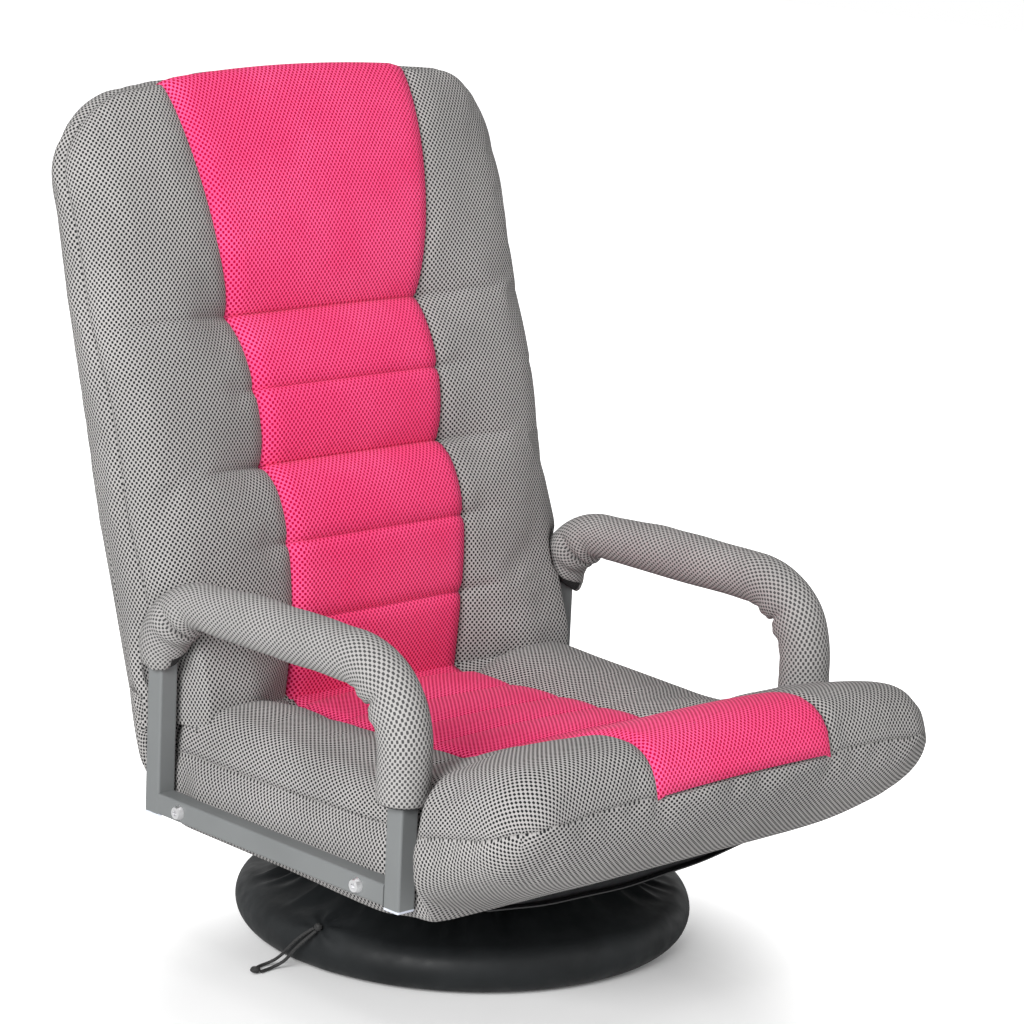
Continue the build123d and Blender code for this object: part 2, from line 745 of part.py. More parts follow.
# Hinge leaves on the seat side tubes, rising to the pin
leaf_foot_low = arm_bottom + leaf_foot_inset
pawl_pin_y = hinge_y + pawl_reach * math.cos(math.radians(pawl_angle))
pawl_pin_z = hinge_z + pawl_reach * math.sin(math.radians(pawl_angle))
with BuildPart() as hinge_seat_leaves:
    for side in (-1, 1):
        with BuildSketch(Plane.YZ.offset(side * (side_inner + seat_leaf_inner) / 2)):
            with BuildLine():
                Polyline(
                    (seat_rear - leaf_foot_width, leaf_foot_low),
                    (seat_rear, leaf_foot_low),
                    (seat_rear, rail_top),
                    (seat_rear - leaf_foot_width, rail_top),
                    close=True,
                )
                CenterArc((hinge_y, hinge_z), leaf_eye_radius, 0, 360)
            make_hull()
            with Locations((hinge_y, hinge_z)):
                Circle(hinge_pin_dia / 2 + run_gap, mode=Mode.SUBTRACT)
            with Locations((rail_bolts_y[1], rail_z)):
                Circle(arm_bolt_dia / 2 + bolt_gap, mode=Mode.SUBTRACT)
            with Locations((pawl_pin_y, pawl_pin_z)):
                Circle(pawl_pin_dia / 2 + run_gap, mode=Mode.SUBTRACT)
        extrude(amount=leaf_thick / 2, both=True)
save(hinge_seat_leaves.part, "hinge_seat_leaves")

# Riveted hinge pins
with BuildPart() as hinge_pins:
    for side in (-1, 1):
        pin_axis = Plane((side * ratchet_inner, hinge_y, hinge_z), x_dir=(0, 1, 0), z_dir=(side, 0, 0))
        with BuildSketch(pin_axis.offset(-soft_gap)):
            Circle(hinge_pin_head / 2)
        extrude(amount=-hinge_pin_head_thick)
        with BuildSketch(pin_axis.offset(-soft_gap)):
            Circle(hinge_pin_dia / 2)
        extrude(amount=side_inner - ratchet_inner + 2 * soft_gap)
        with BuildSketch(pin_axis.offset(side_inner - ratchet_inner + soft_gap)):
            Circle(hinge_pin_head / 2)
        extrude(amount=hinge_pin_head_thick)
save(hinge_pins.part, "hinge_pins")

# Spring pawls beside the toothed discs, each with its own short pin through the seat leaf
with BuildPart() as hinge_pawls:
    for side in (-1, 1):
        pawl_inner = Plane.YZ.offset(side * (ratchet_inner + soft_gap))
        nose = ratchet_radius + pawl_gap
        with BuildSketch(pawl_inner):
            with BuildLine():
                CenterArc((pawl_pin_y, pawl_pin_z), pawl_eye_radius, 0, 360)
                nose_y = hinge_y + nose * math.cos(math.radians(pawl_angle))
                nose_z = hinge_z + nose * math.sin(math.radians(pawl_angle))
                nose_low = nose_z - pawl_nose_half_width
                Line((nose_y - pawl_nose_half_width, nose_low), (nose_y + pawl_nose_half_width, nose_low))
            make_hull()
        extrude(amount=side * (ratchet_thick - 2 * soft_gap))
        with BuildSketch(pawl_inner):
            with Locations((pawl_pin_y, pawl_pin_z)):
                Circle(pawl_pin_dia / 2)
        extrude(amount=side * (side_inner - ratchet_inner - soft_gap))
save(hinge_pawls.part, "hinge_pawls")

# Leaves on the back's side tubes
with BuildPart() as hinge_back_leaves:
    for side in (-1, 1):
        with BuildSketch(back_side.offset(side * (back_leaf_outer + back_leaf_inner) / 2)):
            with BuildLine():
                CenterArc((0, 0), leaf_eye_radius, 0, 360)
                Polyline(
                    (back_tube_centre - tube_size / 2, back_leaf_start),
                    (back_tube_centre + tube_size / 2, back_leaf_start),
                    (back_tube_centre + tube_size / 2, back_leaf_end),
                    (back_tube_centre - tube_size / 2, back_leaf_end),
                    close=True,
                )
            make_hull()
            Circle(hinge_pin_dia / 2 + run_gap, mode=Mode.SUBTRACT)
        extrude(amount=leaf_thick / 2, both=True)
save(hinge_back_leaves.part, "hinge_back_leaves")

# Toothed discs on the inner faces of the back leaves
with BuildPart() as hinge_ratchets:
    for side in (-1, 1):
        with BuildSketch(back_side.offset(side * (back_leaf_inner - ratchet_thick / 2))):
            Circle(ratchet_radius)
            with PolarLocations(ratchet_radius, ratchet_teeth):
                Rectangle(2 * ratchet_tooth, ratchet_tooth, mode=Mode.SUBTRACT)
            Circle(hinge_pin_dia / 2 + run_gap, mode=Mode.SUBTRACT)
        extrude(amount=ratchet_thick / 2, both=True)
save(hinge_ratchets.part, "hinge_ratchets")

# Back frame: one bent square tube
with BuildPart() as back_frame:
    with BuildLine(back_plane.offset(-back_tube_centre)):
        FilletPolyline(
            (-back_tube_x, back_tube_foot),
            (-back_tube_x, back_tube_top),
            (back_tube_x, back_tube_top),
            (back_tube_x, back_tube_foot),
            radius=back_tube_bend,
        )
    tube_start = back_plane.offset(-back_tube_centre).from_local_coords((-back_tube_x, back_tube_foot, 0))
    with BuildSketch(Plane(tube_start, x_dir=(1, 0, 0), z_dir=back_plane.y_dir)):
        Rectangle(tube_size, tube_size)
        Rectangle(tube_size - 2 * tube_wall, tube_size - 2 * tube_wall, mode=Mode.SUBTRACT)
    sweep()
save(back_frame.part, "back_frame")

# Cross bars welded between the sides of the back frame
with BuildPart() as back_cross_bars:
    for size_loss, mode in ((0, Mode.ADD), (2 * tube_wall, Mode.SUBTRACT)):
        with BuildSketch(back_side.offset(-(back_tube_x - tube_size / 2))):
            with Locations(*[(back_tube_centre, up) for up in back_bar_heights]):
                Rectangle(tube_size - size_loss, tube_size - size_loss)
        extrude(amount=2 * (back_tube_x - tube_size / 2), mode=mode)
save(back_cross_bars.part, "back_cross_bars")

# Elastic webbing across the front of the back frame
with BuildPart() as back_webbing:
    with BuildSketch(back_plane.offset(-(back_tube_centre - tube_size / 2))):
        for i in range(back_webbing_count):
            with Locations((0, back_webbing_first + i * back_webbing_pitch)):
                Rectangle(2 * back_tube_x + tube_size, webbing_width)
    extrude(amount=webbing_thick)
save(back_webbing.part, "back_webbing")

# Side outline of the back, with its pillowed front
with BuildSketch() as back_outline:
    with BuildLine():
        foot = Line((back_rear, back_foot), (back_foot_front, back_foot))
        ramp = Line(foot @ 1, (lumbar_start_in, lumbar_start_up))
        lumbar = ThreePointArc(
            ramp @ 1, (lumbar_crest_in, lumbar_crest_up), (waist_crease_in, waist_crease_up)
        )
        shoulder = ThreePointArc(
            lumbar @ 1, (shoulder_crest_in, shoulder_crest_up), (neck_crease_in, neck_crease_up)
        )
        head = ThreePointArc(
            shoulder @ 1, (head_crest_in, head_crest_up), (head_edge_in, head_edge_up)
        )
        crown_front = Line(head @ 1, (back_crown, back_top))
        crown_rear = Line(crown_front @ 1, (back_rear, head_edge_up))
        Line(crown_rear @ 1, foot @ 0)
    make_face()

# Padded back: pocket for the frame from the rear, narrow between the arms
with BuildPart() as back_cushion:
    with BuildSketch(back_side):
        add(back_outline.sketch)
    extrude(amount=back_half_width, both=True)
    with BuildSketch(back_plane):
        with Locations((0, back_top / 2)):
            RectangleRounded(2 * back_half_width, back_top, back_corner)
        with Locations((0, back_wide_from / 2)):
            Rectangle(2 * back_half_width, back_wide_from, mode=Mode.SUBTRACT)
        with Locations((0, back_top / 2)):
            Rectangle(2 * back_core_half_width, back_top - 2 * back_corner)
        with Locations((0, back_foot + back_corner)):
            Rectangle(2 * back_core_half_width, 2 * back_corner)
    extrude(amount=4 * back_rear, both=True, mode=Mode.INTERSECT)
    with BuildSketch(back_plane.offset(-back_pocket_front)):
        back_pocket_foot = back_foot - 2 * frame_margin
        with Locations((0, (back_pocket_foot + back_pocket_top) / 2)):
            Rectangle(2 * back_pocket_half_width, back_pocket_top - back_pocket_foot)
    extrude(amount=-2 * back_rear, mode=Mode.SUBTRACT)
    for side in (-1, 1):
        slot_outer = back_pocket_half_width
        slot_inner = back_leaf_inner - leaf_thick
        with BuildSketch(back_side.offset(side * (slot_outer + slot_inner) / 2)):
            with Locations(((back_pocket_front - leaf_eye_radius) / 2, (back_foot + back_leaf_end) / 2)):
                Rectangle(back_pocket_front + leaf_eye_radius, back_leaf_end - back_foot + 2 * back_slot_margin)
        extrude(amount=(slot_outer - slot_inner) / 2, both=True, mode=Mode.SUBTRACT)
        with BuildSketch(back_side.offset(side * (hinge_slot_inner + hinge_slot_outer) / 2)):
            Circle(hinge_clearance_radius)
        extrude(amount=(hinge_slot_outer - hinge_slot_inner) / 2, both=True, mode=Mode.SUBTRACT)
save(back_cushion.part, "back_cushion")

# Coloured centre panel of the back, wider at the head
with BuildPart() as back_centre_panel:
    with BuildSketch(back_side):
        with Locations((-panel_skin, 0)):
            add(back_outline.sketch)
        with Locations((-run_gap, 0)):
            add(back_outline.sketch, mode=Mode.SUBTRACT)
        with Locations((0, (lumbar_start_up + head_edge_up) / 2)):
            Rectangle(4 * back_rear, head_edge_up - lumbar_start_up, mode=Mode.INTERSECT)
    extrude(amount=back_half_width, both=True)
    with BuildSketch(back_plane):
        with BuildLine():
            Polyline(
                (-back_panel_foot_half_width, 0),
                (back_panel_foot_half_width, 0),
                (back_panel_neck_half_width, neck_crease_up),
                (back_panel_top_half_width, back_top),
                (-back_panel_top_half_width, back_top),
                (-back_panel_neck_half_width, neck_crease_up),
                close=True,
            )
        make_face()
    extrude(amount=4 * back_rear, both=True, mode=Mode.INTERSECT)
save(back_centre_panel.part, "back_centre_panel")

# Black cloth panel closing the rear of the back, and the zip on it
with BuildPart() as back_rear_panel:
    with BuildSketch(back_plane.offset(-back_panel_front)):
        panel_height = back_pocket_top - back_foot - soft_gap
        with Locations((0, back_foot + panel_height / 2)):
            Rectangle(2 * (back_pocket_half_width - soft_gap), panel_height)
    extrude(amount=-back_panel_thick)
save(back_rear_panel.part, "back_rear_panel")

with BuildPart() as back_zipper:
    with BuildSketch(back_plane.offset(-(back_panel_front + back_panel_thick))):
        with Locations((0, back_zip_up)):
            RectangleRounded(back_zip_width, back_zip_length, back_zip_width / 3)
    extrude(amount=-back_zip_thick)
save(back_zipper.part, "back_zipper")

# Soft sides of the back beside the arms, pressed in when the back folds down between them
arm_clear_y = rear_post_y + sleeve_dia / 2 + wing_post_margin
arm_clear_z = arm_top_centre + sleeve_dia / 2 + wing_arm_margin
wing_inner = back_core_half_width + soft_gap
for side, name in ((-1, "left"), (1, "right")):
    with BuildPart() as back_wing:
        with BuildSketch(back_side.offset(side * (wing_inner + back_half_width) / 2)):
            add(back_outline.sketch)
            with Locations((0, (back_foot + back_wide_from - soft_gap) / 2)):
                Rectangle(4 * back_rear, back_wide_from - soft_gap - back_foot, mode=Mode.INTERSECT)
        extrude(amount=(back_half_width - wing_inner) / 2, both=True)
        with BuildSketch(Plane.YZ.offset(side * (wing_inner + back_half_width) / 2)):
            with Locations((arm_clear_y - back_half_width / 2, arm_clear_z / 2)):
                Rectangle(back_half_width, arm_clear_z)
        extrude(amount=back_half_width, both=True, mode=Mode.SUBTRACT)
    save(back_wing.part, f"{name}_back_wing")

# Soft lower edge of the back, squeezed in the crease with the seat
with BuildPart() as back_lower_roll:
    with BuildSketch(back_side):
        with BuildLine():
            Polyline(
                (back_foot_front - soft_gap, back_foot + soft_gap / 2),
                (lumbar_start_in - soft_gap, lumbar_start_up - soft_gap),
                (lumbar_low_in, lumbar_low_up),
                (crease_front_in, crease_front_up),
                (crease_low_in, crease_low_up),
                (crease_rear_in, crease_rear_up),
                close=True,
            )
        make_face()
    extrude(amount=hinge_slot_inner - soft_gap, both=True)
save(back_lower_roll.part, "back_lower_roll")

# Soft gusset that closes the crease behind the hinges
gusset_top_rear = at_back(back_foot - soft_gap, back_rear)
gusset_top_front = at_back(back_foot - soft_gap, back_foot_front)
gusset_crease = at_back(crease_rear_up - 2 * soft_gap, crease_rear_in + soft_gap)
gusset_front = seat_rear + gusset_gap
gusset_front_top = at_back(crease_low_up - 2 * soft_gap, crease_low_in)[1] - soft_gap
with BuildPart() as rear_gusset:
    with BuildSketch(Plane.YZ):
        with BuildLine():
            low = Line((gusset_front, seat_bottom), (gusset_front + gusset_foot, seat_bottom))
            bulge_middle = (gusset_top_rear[0] - gusset_bulge_inset, gusset_bulge_height)
            bulge = ThreePointArc(low @ 1, bulge_middle, gusset_top_rear)
            top_edge = Line(bulge @ 1, gusset_top_front)
            Polyline(top_edge @ 1, gusset_crease, (gusset_front, gusset_front_top), low @ 0)
        make_face()
    extrude(amount=back_half_width, both=True)
    post_cut = back_half_width - arm_inner + 2 * wing_arm_margin
    for side in (-1, 1):
        with BuildSketch(Plane.XY):
            with Locations((side * (arm_inner - soft_gap + back_half_width) / 2, rear_post_y)):
                Rectangle(post_cut, 2 * (tube_size / 2 + wing_arm_margin))
            with Locations((side * (hinge_slot_inner + hinge_slot_outer) / 2, hinge_y)):
                Rectangle(hinge_slot_outer - hinge_slot_inner, 2 * back_tube_centre)
        extrude(amount=2 * hinge_z, mode=Mode.SUBTRACT)
        with BuildSketch(Plane.XY):
            with Locations((side * (arm_inner + back_half_width) / 2, gusset_front)):
                Rectangle(post_cut, 2 * (rear_post_y - gusset_front))
        extrude(amount=2 * hinge_z, mode=Mode.SUBTRACT)
save(rear_gusset.part, "rear_gusset")

# Drawstring: knot on the rim, two strands down to the floor, knot where they are tied
knot_distance = rim_radius + knot_radius + soft_gap
knot_radial = ring_path_radius + knot_distance * math.cos(math.radians(knot_slope))
knot_centre = (
    knot_radial * math.cos(math.radians(knot_azimuth)),
    knot_radial * math.sin(math.radians(knot_azimuth)),
    rim_radius + knot_distance * math.sin(math.radians(knot_slope)),
)
with BuildPart() as drawstring_exit_knot:
    with Locations(knot_centre):
        Sphere(knot_radius)
save(drawstring_exit_knot.part, "drawstring_exit_knot")

strand_routes = {
    "drawstring_strand_a": (
        (-209.5, -28.5, 43.0),
        (-215.0, -24.0, 38.5),
        (-219.5, -17.5, 31.5),
        (-221.5, -9.0, 22.0),
        (-222.2, -0.8, 12.8),
        (-224.5, 7.0, 5.5),
        (-231.0, 11.0, 2.2),
        (-240.5, 10.8, 1.8),
        (-248.0, 6.3, 1.9),
    ),
    "drawstring_strand_b": (
        (-211.5, -33.5, 42.0),
        (-217.5, -31.0, 37.0),
        (-222.0, -25.5, 30.0),
        (-223.8, -17.5, 21.0),
        (-223.2, -9.5, 12.0),
        (-225.8, -3.2, 5.5),
        (-232.5, 0.2, 2.3),
        (-240.3, -0.6, 1.8),
        (-247.0, -1.4, 1.9),
    ),
}


def bend_radii(points):
    """Largest arc that the two runs at each corner leave room for."""
    radii = []
    for before, corner, after in zip(points, points[1:], points[2:]):
        run_in = Vector(*corner) - Vector(*before)
        run_out = Vector(*after) - Vector(*corner)
        half_turn = math.radians(run_in.get_angle(run_out)) / 2
        radii.append(cord_bend_share * min(run_in.length, run_out.length) / math.tan(half_turn))
    return radii


for name, points in strand_routes.items():
    radii = bend_radii(points)
    with BuildPart() as strand:
        with BuildLine() as strand_path:
            FilletPolyline(*points, radius=radii)
        first_run = Vector(*points[1]) - Vector(*points[0])
        with BuildSketch(Plane(points[0], z_dir=first_run)):
            Circle(cord_dia / 2)
        sweep()
    save(strand.part, name)
    print(name, "length", round(strand_path.wire().length, 1), "smallest bend", round(min(radii), 1))

with BuildPart() as drawstring_end_knot:
    with Locations((*end_knot, soft_gap + end_knot_height / 2)):
        Cylinder(end_knot_radius, end_knot_height)
    fillet(drawstring_end_knot.edges(), end_knot_round)
save(drawstring_end_knot.part, "drawstring_end_knot")
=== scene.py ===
import json
import math

import bpy
import numpy as np
from mathutils import Matrix, Vector, noise


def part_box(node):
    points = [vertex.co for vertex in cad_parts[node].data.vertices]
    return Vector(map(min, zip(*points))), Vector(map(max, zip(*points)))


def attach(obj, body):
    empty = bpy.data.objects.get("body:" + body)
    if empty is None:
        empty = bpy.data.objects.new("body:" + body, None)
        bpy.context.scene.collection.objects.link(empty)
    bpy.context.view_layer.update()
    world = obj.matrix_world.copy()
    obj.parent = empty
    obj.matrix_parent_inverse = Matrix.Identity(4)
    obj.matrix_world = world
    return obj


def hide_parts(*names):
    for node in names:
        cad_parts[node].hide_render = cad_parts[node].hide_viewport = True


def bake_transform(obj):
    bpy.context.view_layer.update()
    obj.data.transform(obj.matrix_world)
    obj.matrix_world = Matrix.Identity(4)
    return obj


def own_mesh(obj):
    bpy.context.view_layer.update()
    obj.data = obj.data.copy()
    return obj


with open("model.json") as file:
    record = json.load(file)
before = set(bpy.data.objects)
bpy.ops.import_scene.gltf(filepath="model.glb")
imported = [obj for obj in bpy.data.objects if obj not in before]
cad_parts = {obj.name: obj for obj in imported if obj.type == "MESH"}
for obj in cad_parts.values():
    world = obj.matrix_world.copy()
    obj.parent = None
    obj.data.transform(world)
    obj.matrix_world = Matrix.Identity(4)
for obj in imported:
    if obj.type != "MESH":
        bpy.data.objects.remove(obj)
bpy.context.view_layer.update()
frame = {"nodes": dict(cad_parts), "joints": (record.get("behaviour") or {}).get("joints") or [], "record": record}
nodes = frame["nodes"]
scene = bpy.context.scene
scene.view_settings.view_transform = "Standard"
print("frame loaded:", len(nodes), "nodes")

# camera
shot = {
    "position": (-2.2262, -2.3585, 1.1467),
    "right": (0.7273, -0.6848, 0.0452),
    "up": (0.1224, 0.1942, 0.9733),
    "ahead": (0.6753, 0.7024, -0.2250),
    "lens": 126.67,
    "sensor": 36.0,
}
lensData = bpy.data.cameras.new("photoCamera")
lensData.sensor_fit = "HORIZONTAL"
lensData.sensor_width = shot["sensor"]
lensData.lens = shot["lens"]
lensData.clip_end = 60
cameraObj = bpy.data.objects.new("photoCamera", lensData)
scene.collection.objects.link(cameraObj)
right = Vector(shot["right"]).normalized()
back = -Vector(shot["ahead"]).normalized()
upward = back.cross(right).normalized()
right = upward.cross(back).normalized()
cameraObj.matrix_world = Matrix.Translation(shot["position"]) @ Matrix(
    (right, upward, back)
).transposed().to_4x4()
scene.camera = cameraObj


# shader maths
class Link:
    def __init__(self, nodes, socket):
        self.nodes, self.socket = nodes, socket

    def __add__(self, other):
        return self.nodes.maths("ADD", self, other)

    def __rsub__(self, other):
        return self.nodes.maths("SUBTRACT", other, self)

    def __mul__(self, other):
        return self.nodes.maths("MULTIPLY", self, other)


class Nodes:
    def __init__(self, owner):
        owner.use_nodes = True
        self.tree = owner.node_tree

    def feed(self, node, values):
        for name, value in values.items():
            socket = node.inputs[name]
            if isinstance(value, Link):
                self.tree.links.new(value.socket, socket)
            elif isinstance(value, tuple) and len(value) == 3 and socket.type == "RGBA":
                socket.default_value = (*value, 1.0)
            else:
                socket.default_value = value

    def node(self, kind, values=None, settings=None, out=0):
        made = self.tree.nodes.new("ShaderNode" + kind)
        for name, value in (settings or {}).items():
            setattr(made, name, value)
        self.feed(made, values or {})
        return Link(self, made.outputs[out])

    def maths(self, operation, *values):
        return self.node("Math", dict(enumerate(values)), {"operation": operation})

    def fade(self, value, low, high, toLow=0.0, toHigh=1.0):
        return self.node(
            "MapRange",
            {"Value": value, "From Min": low, "From Max": high, "To Min": toLow, "To Max": toHigh},
            {"interpolation_type": "SMOOTHSTEP"},
        )

    def mix(self, amount, first, second):
        return self.node("Mix", {0: amount, 6: first, 7: second}, {"data_type": "RGBA"}, 2)

    def noise(self, scale, detail=3.0, where=None):
        where = where or self.node("TexCoord", out="Object")
        return self.node("TexNoise", {"Vector": where, "Scale": scale, "Detail": detail})


class Finish(Nodes):
    def __init__(self, name, shader):
        self.material = bpy.data.materials.new(name)
        super().__init__(self.material)
        self.shader = self.tree.nodes["Principled BSDF"]
        self.feed(self.shader, shader)

    def bump(self, height, strength, distance):
        normal = self.node("Bump", {"Height": height, "Strength": strength, "Distance": distance})
        self.feed(self.shader, {"Normal": normal})


# finishes
spacerMesh = {
    "pitch": 0.0047,  # hole to hole along a row, metres
    "row": 0.00285,  # between staggered rows
    "holeFrom": -0.02,
    "holeTo": 0.36,
}
# each hole colour is painted shade, the darkness that falls inside the mesh's open holes
meshColours = {
    "grey": {"yarn": (0.370, 0.359, 0.352), "worn": (0.322, 0.313, 0.307), "hole": (0.016, 0.016, 0.017)},
    "pink": {"yarn": (0.92, 0.098, 0.265), "worn": (0.84, 0.066, 0.205), "hole": (0.38, 0.001, 0.035)},
    # the sleeves' copy of the grey mesh, with paler painted shade in its holes
    "sleeve": {"yarn": (0.350, 0.341, 0.334), "worn": (0.310, 0.302, 0.296), "hole": (0.062, 0.061, 0.062)},
}


def meshFabric(name, colours):
    cloth = Finish(name, {"Roughness": 0.9, "Specular IOR Level": 0.08})
    cloth.feed(cloth.shader, {"Sheen Weight": 0.04, "Sheen Roughness": 0.5})
    flat = cloth.node("UVMap", settings={"uv_map": "cloth"})
    across = cloth.node("SeparateXYZ", {"Vector": flat}, out="X")
    along = cloth.node("SeparateXYZ", {"Vector": flat}, out="Y")
    columns = cloth.maths("COSINE", across * (2 * math.pi / spacerMesh["pitch"]))
    rows = cloth.maths("COSINE", along * (math.pi / spacerMesh["row"]))
    lattice = columns * rows
    hole = cloth.fade(lattice, spacerMesh["holeFrom"], spacerMesh["holeTo"])
    drift = cloth.noise(9.0, 3.0)
    fuzz = cloth.noise(1400.0, 2.0)
    yarn = cloth.mix(cloth.fade(drift, 0.35, 0.65), colours["yarn"], colours["worn"])
    yarn = cloth.mix(cloth.fade(fuzz, 0.3, 0.75, 0.0, 0.35), yarn, colours["worn"])
    # the holes of the lattice take their painted shade
    woven = cloth.mix(hole, yarn, colours["hole"])
    # the seam attribute darkens the cloth: painted shade in the creases of seams and sewn rows, painted shadow
    # under the sleeves' front rims, and the sleeves' dark hook tape
    sewn = cloth.node("Attribute", settings={"attribute_name": "seam"}, out="Fac")
    seam = cloth.fade(sewn, 0.15, 0.95)
    cloth.feed(cloth.shader, {"Base Color": cloth.mix(seam, woven, tuple(0.3 * c for c in colours["hole"]))})
    cloth.bump((1.0 - hole) + fuzz * 0.25, 0.75, 0.0009)
    return cloth.material


def paintedSteel(name, colour, dark, rough):
    paint = Finish(name, {"Metallic": 0.0, "Specular IOR Level": 0.25})
    broad = paint.noise(14.0, 3.0)
    fine = paint.noise(900.0, 2.0)
    paint.feed(paint.shader, {
        "Base Color": paint.mix(paint.fade(broad, 0.3, 0.7), colour, dark),
        "Roughness": paint.fade(broad, 0.25, 0.75, rough - 0.06, rough + 0.06),
    })
    paint.bump(fine, 0.12, 0.0003)
    return paint.material


def platedSteel(name, colour):
    plate = Finish(name, {"Metallic": 1.0})
    where = plate.node("TexCoord", out="Object")
    stretch = plate.node("Mapping", {"Vector": where, "Scale": (1.0, 1.0, 12.0)})
    brush = plate.noise(220.0, 4.0, stretch)
    plate.feed(plate.shader, {
        "Base Color": plate.mix(brush, colour, tuple(0.82 * c for c in colour)),
        "Roughness": plate.fade(brush, 0.2, 0.8, 0.24, 0.42),
    })
    plate.bump(brush, 0.08, 0.0002)
    return plate.material


def coatedCloth(name, colour, shine):
    cloth = Finish(name, {"Specular IOR Level": 0.16})
    weave = cloth.node("TexCoord", out="Object")
    broad = cloth.noise(16.0, 4.0, weave)
    thread = cloth.noise(1100.0, 2.0, weave)
    crease = cloth.noise(55.0, 5.0, weave)
    cloth.feed(cloth.shader, {
        "Base Color": cloth.mix(cloth.fade(broad, 0.3, 0.7), colour, tuple(1.7 * c for c in colour)),
        "Roughness": cloth.fade(crease, 0.25, 0.75, shine - 0.08, shine + 0.10),
    })
    cloth.bump(crease + thread * 0.10, 0.16, 0.002)
    return cloth.material


def plainStuff(name, colour, rough, grain, depth):
    stuff = Finish(name, {})
    broad = stuff.noise(30.0, 3.0)
    fine = stuff.noise(grain, 3.0)
    stuff.feed(stuff.shader, {
        "Base Color": stuff.mix(stuff.fade(broad, 0.3, 0.7), colour, tuple(0.8 * c for c in colour)),
        "Roughness": stuff.fade(fine, 0.3, 0.7, rough - 0.06, rough + 0.06),
    })
    stuff.bump(fine, 0.3, depth)
    return stuff.material


def braidedCord(name, colour):
    braid = Finish(name, {"Roughness": 0.75})
    where = braid.node("TexCoord", out="Object")
    ribs = braid.node(
        "TexWave",
        {"Vector": where, "Scale": 380.0, "Distortion": 1.5},
        {"wave_type": "BANDS", "bands_direction": "DIAGONAL"},
    )
    braid.feed(braid.shader, {"Base Color": braid.mix(ribs, colour, tuple(2.4 * c for c in colour))})
    braid.bump(ribs, 0.5, 0.0004)
    return braid.material


greyMesh, pinkMesh, sleeveMesh = [meshFabric(name + "Mesh", colours) for name, colours in meshColours.items()]
blackCover = coatedCloth("blackCover", (0.0080, 0.0090, 0.0096), 0.54)
blackLining = coatedCloth("blackLining", (0.010, 0.010, 0.011), 0.62)
armPaint = paintedSteel("armPaint", (0.160, 0.168, 0.169), (0.146, 0.153, 0.154), 0.45)
framePaint = paintedSteel("framePaint", (0.022, 0.022, 0.023), (0.016, 0.016, 0.017), 0.45)
zincPlate = platedSteel("zincPlate", (0.76, 0.76, 0.77))
padFoam = plainStuff("padFoam", (0.70, 0.67, 0.58), 0.9, 420.0, 0.0012)
elasticBand = plainStuff("elasticBand", (0.03, 0.03, 0.03), 0.8, 700.0, 0.0006)
zipTape = plainStuff("zipTape", (0.012, 0.012, 0.013), 0.55, 900.0, 0.0004)
paleCap = plainStuff("paleCap", (0.62, 0.65, 0.74), 0.45, 300.0, 0.0002)
darkCage = plainStuff("darkCage", (0.03, 0.03, 0.03), 0.5, 300.0, 0.0002)
blackCord = braidedCord("blackCord", (0.008, 0.008, 0.008))
print("finishes ready")

slotFinish = {
    "arm_steel": armPaint,
    "frame_steel": framePaint,
    "zinc_steel": zincPlate,
    "grey_mesh": greyMesh,
    "pink_mesh": pinkMesh,
    "black_cloth": blackLining,
    "foam": padFoam,
    "webbing": elasticBand,
    "zip": zipTape,
    "light_plastic": paleCap,
    "dark_plastic": darkCage,
    "cord": blackCord,
}
for part in frame["record"]["subparts"]:
    solid = nodes[part["node"]]
    solid.data.materials.clear()
    solid.data.materials.append(slotFinish[part["material_slot"]])


# small tools
def deselect():
    if bpy.context.object and bpy.context.object.mode != "OBJECT":
        bpy.ops.object.mode_set(mode="OBJECT")
    bpy.ops.object.select_all(action="DESELECT")


def pick(obj):
    deselect()
    obj.select_set(True)
    bpy.context.view_layer.objects.active = obj


def started(name, keepMap=False):
    # the primitive that was just added, under its name
    obj = bpy.context.object
    obj.name = obj.data.name = name
    while obj.data.uv_layers and not keepMap:
        obj.data.uv_layers.remove(obj.data.uv_layers[0])
    return obj


def dress(obj, finish, slotName, body, *replaced):
    obj.data.materials.clear()
    obj.data.materials.append(finish)
    if body:
        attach(obj, body)
    if replaced:
        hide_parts(*replaced)
    return obj


def points(obj):
    co = np.empty(len(obj.data.vertices) * 3)
    obj.data.vertices.foreach_get("co", co)
    return co.reshape(-1, 3)


def setPoints(obj, co):
    obj.data.vertices.foreach_set("co", np.ascontiguousarray(co, dtype=np.float32).ravel())
    obj.data.update()


def paintShadeAndTape(obj, amount):
    # how much each place is darkened: painted shade in the creases of seams and sewn rows, painted shadow under
    # the sleeves' front rims, and the sleeves' own dark hook tape
    layer = obj.data.attributes.new("seam", "FLOAT", "POINT")
    layer.data.foreach_set("value", np.asarray(amount, np.float32))


def runAlong(line):
    # distance from the first place to each place of a line
    return np.concatenate([[0], np.cumsum(np.linalg.norm(np.diff(line, axis=0), axis=1))])


def quads(obj):
    corner = np.empty(len(obj.data.loops), int)
    obj.data.loops.foreach_get("vertex_index", corner)
    return corner.reshape(-1, 4)


def smooth(obj):
    pick(obj)
    bpy.ops.object.shade_smooth()


def applyModifier(obj, kind, **settings):
    pick(obj)
    modifier = obj.modifiers.new(kind.lower(), kind)
    for name, value in settings.items():
        setattr(modifier, name, value)
    bpy.ops.object.modifier_apply(modifier=modifier.name)


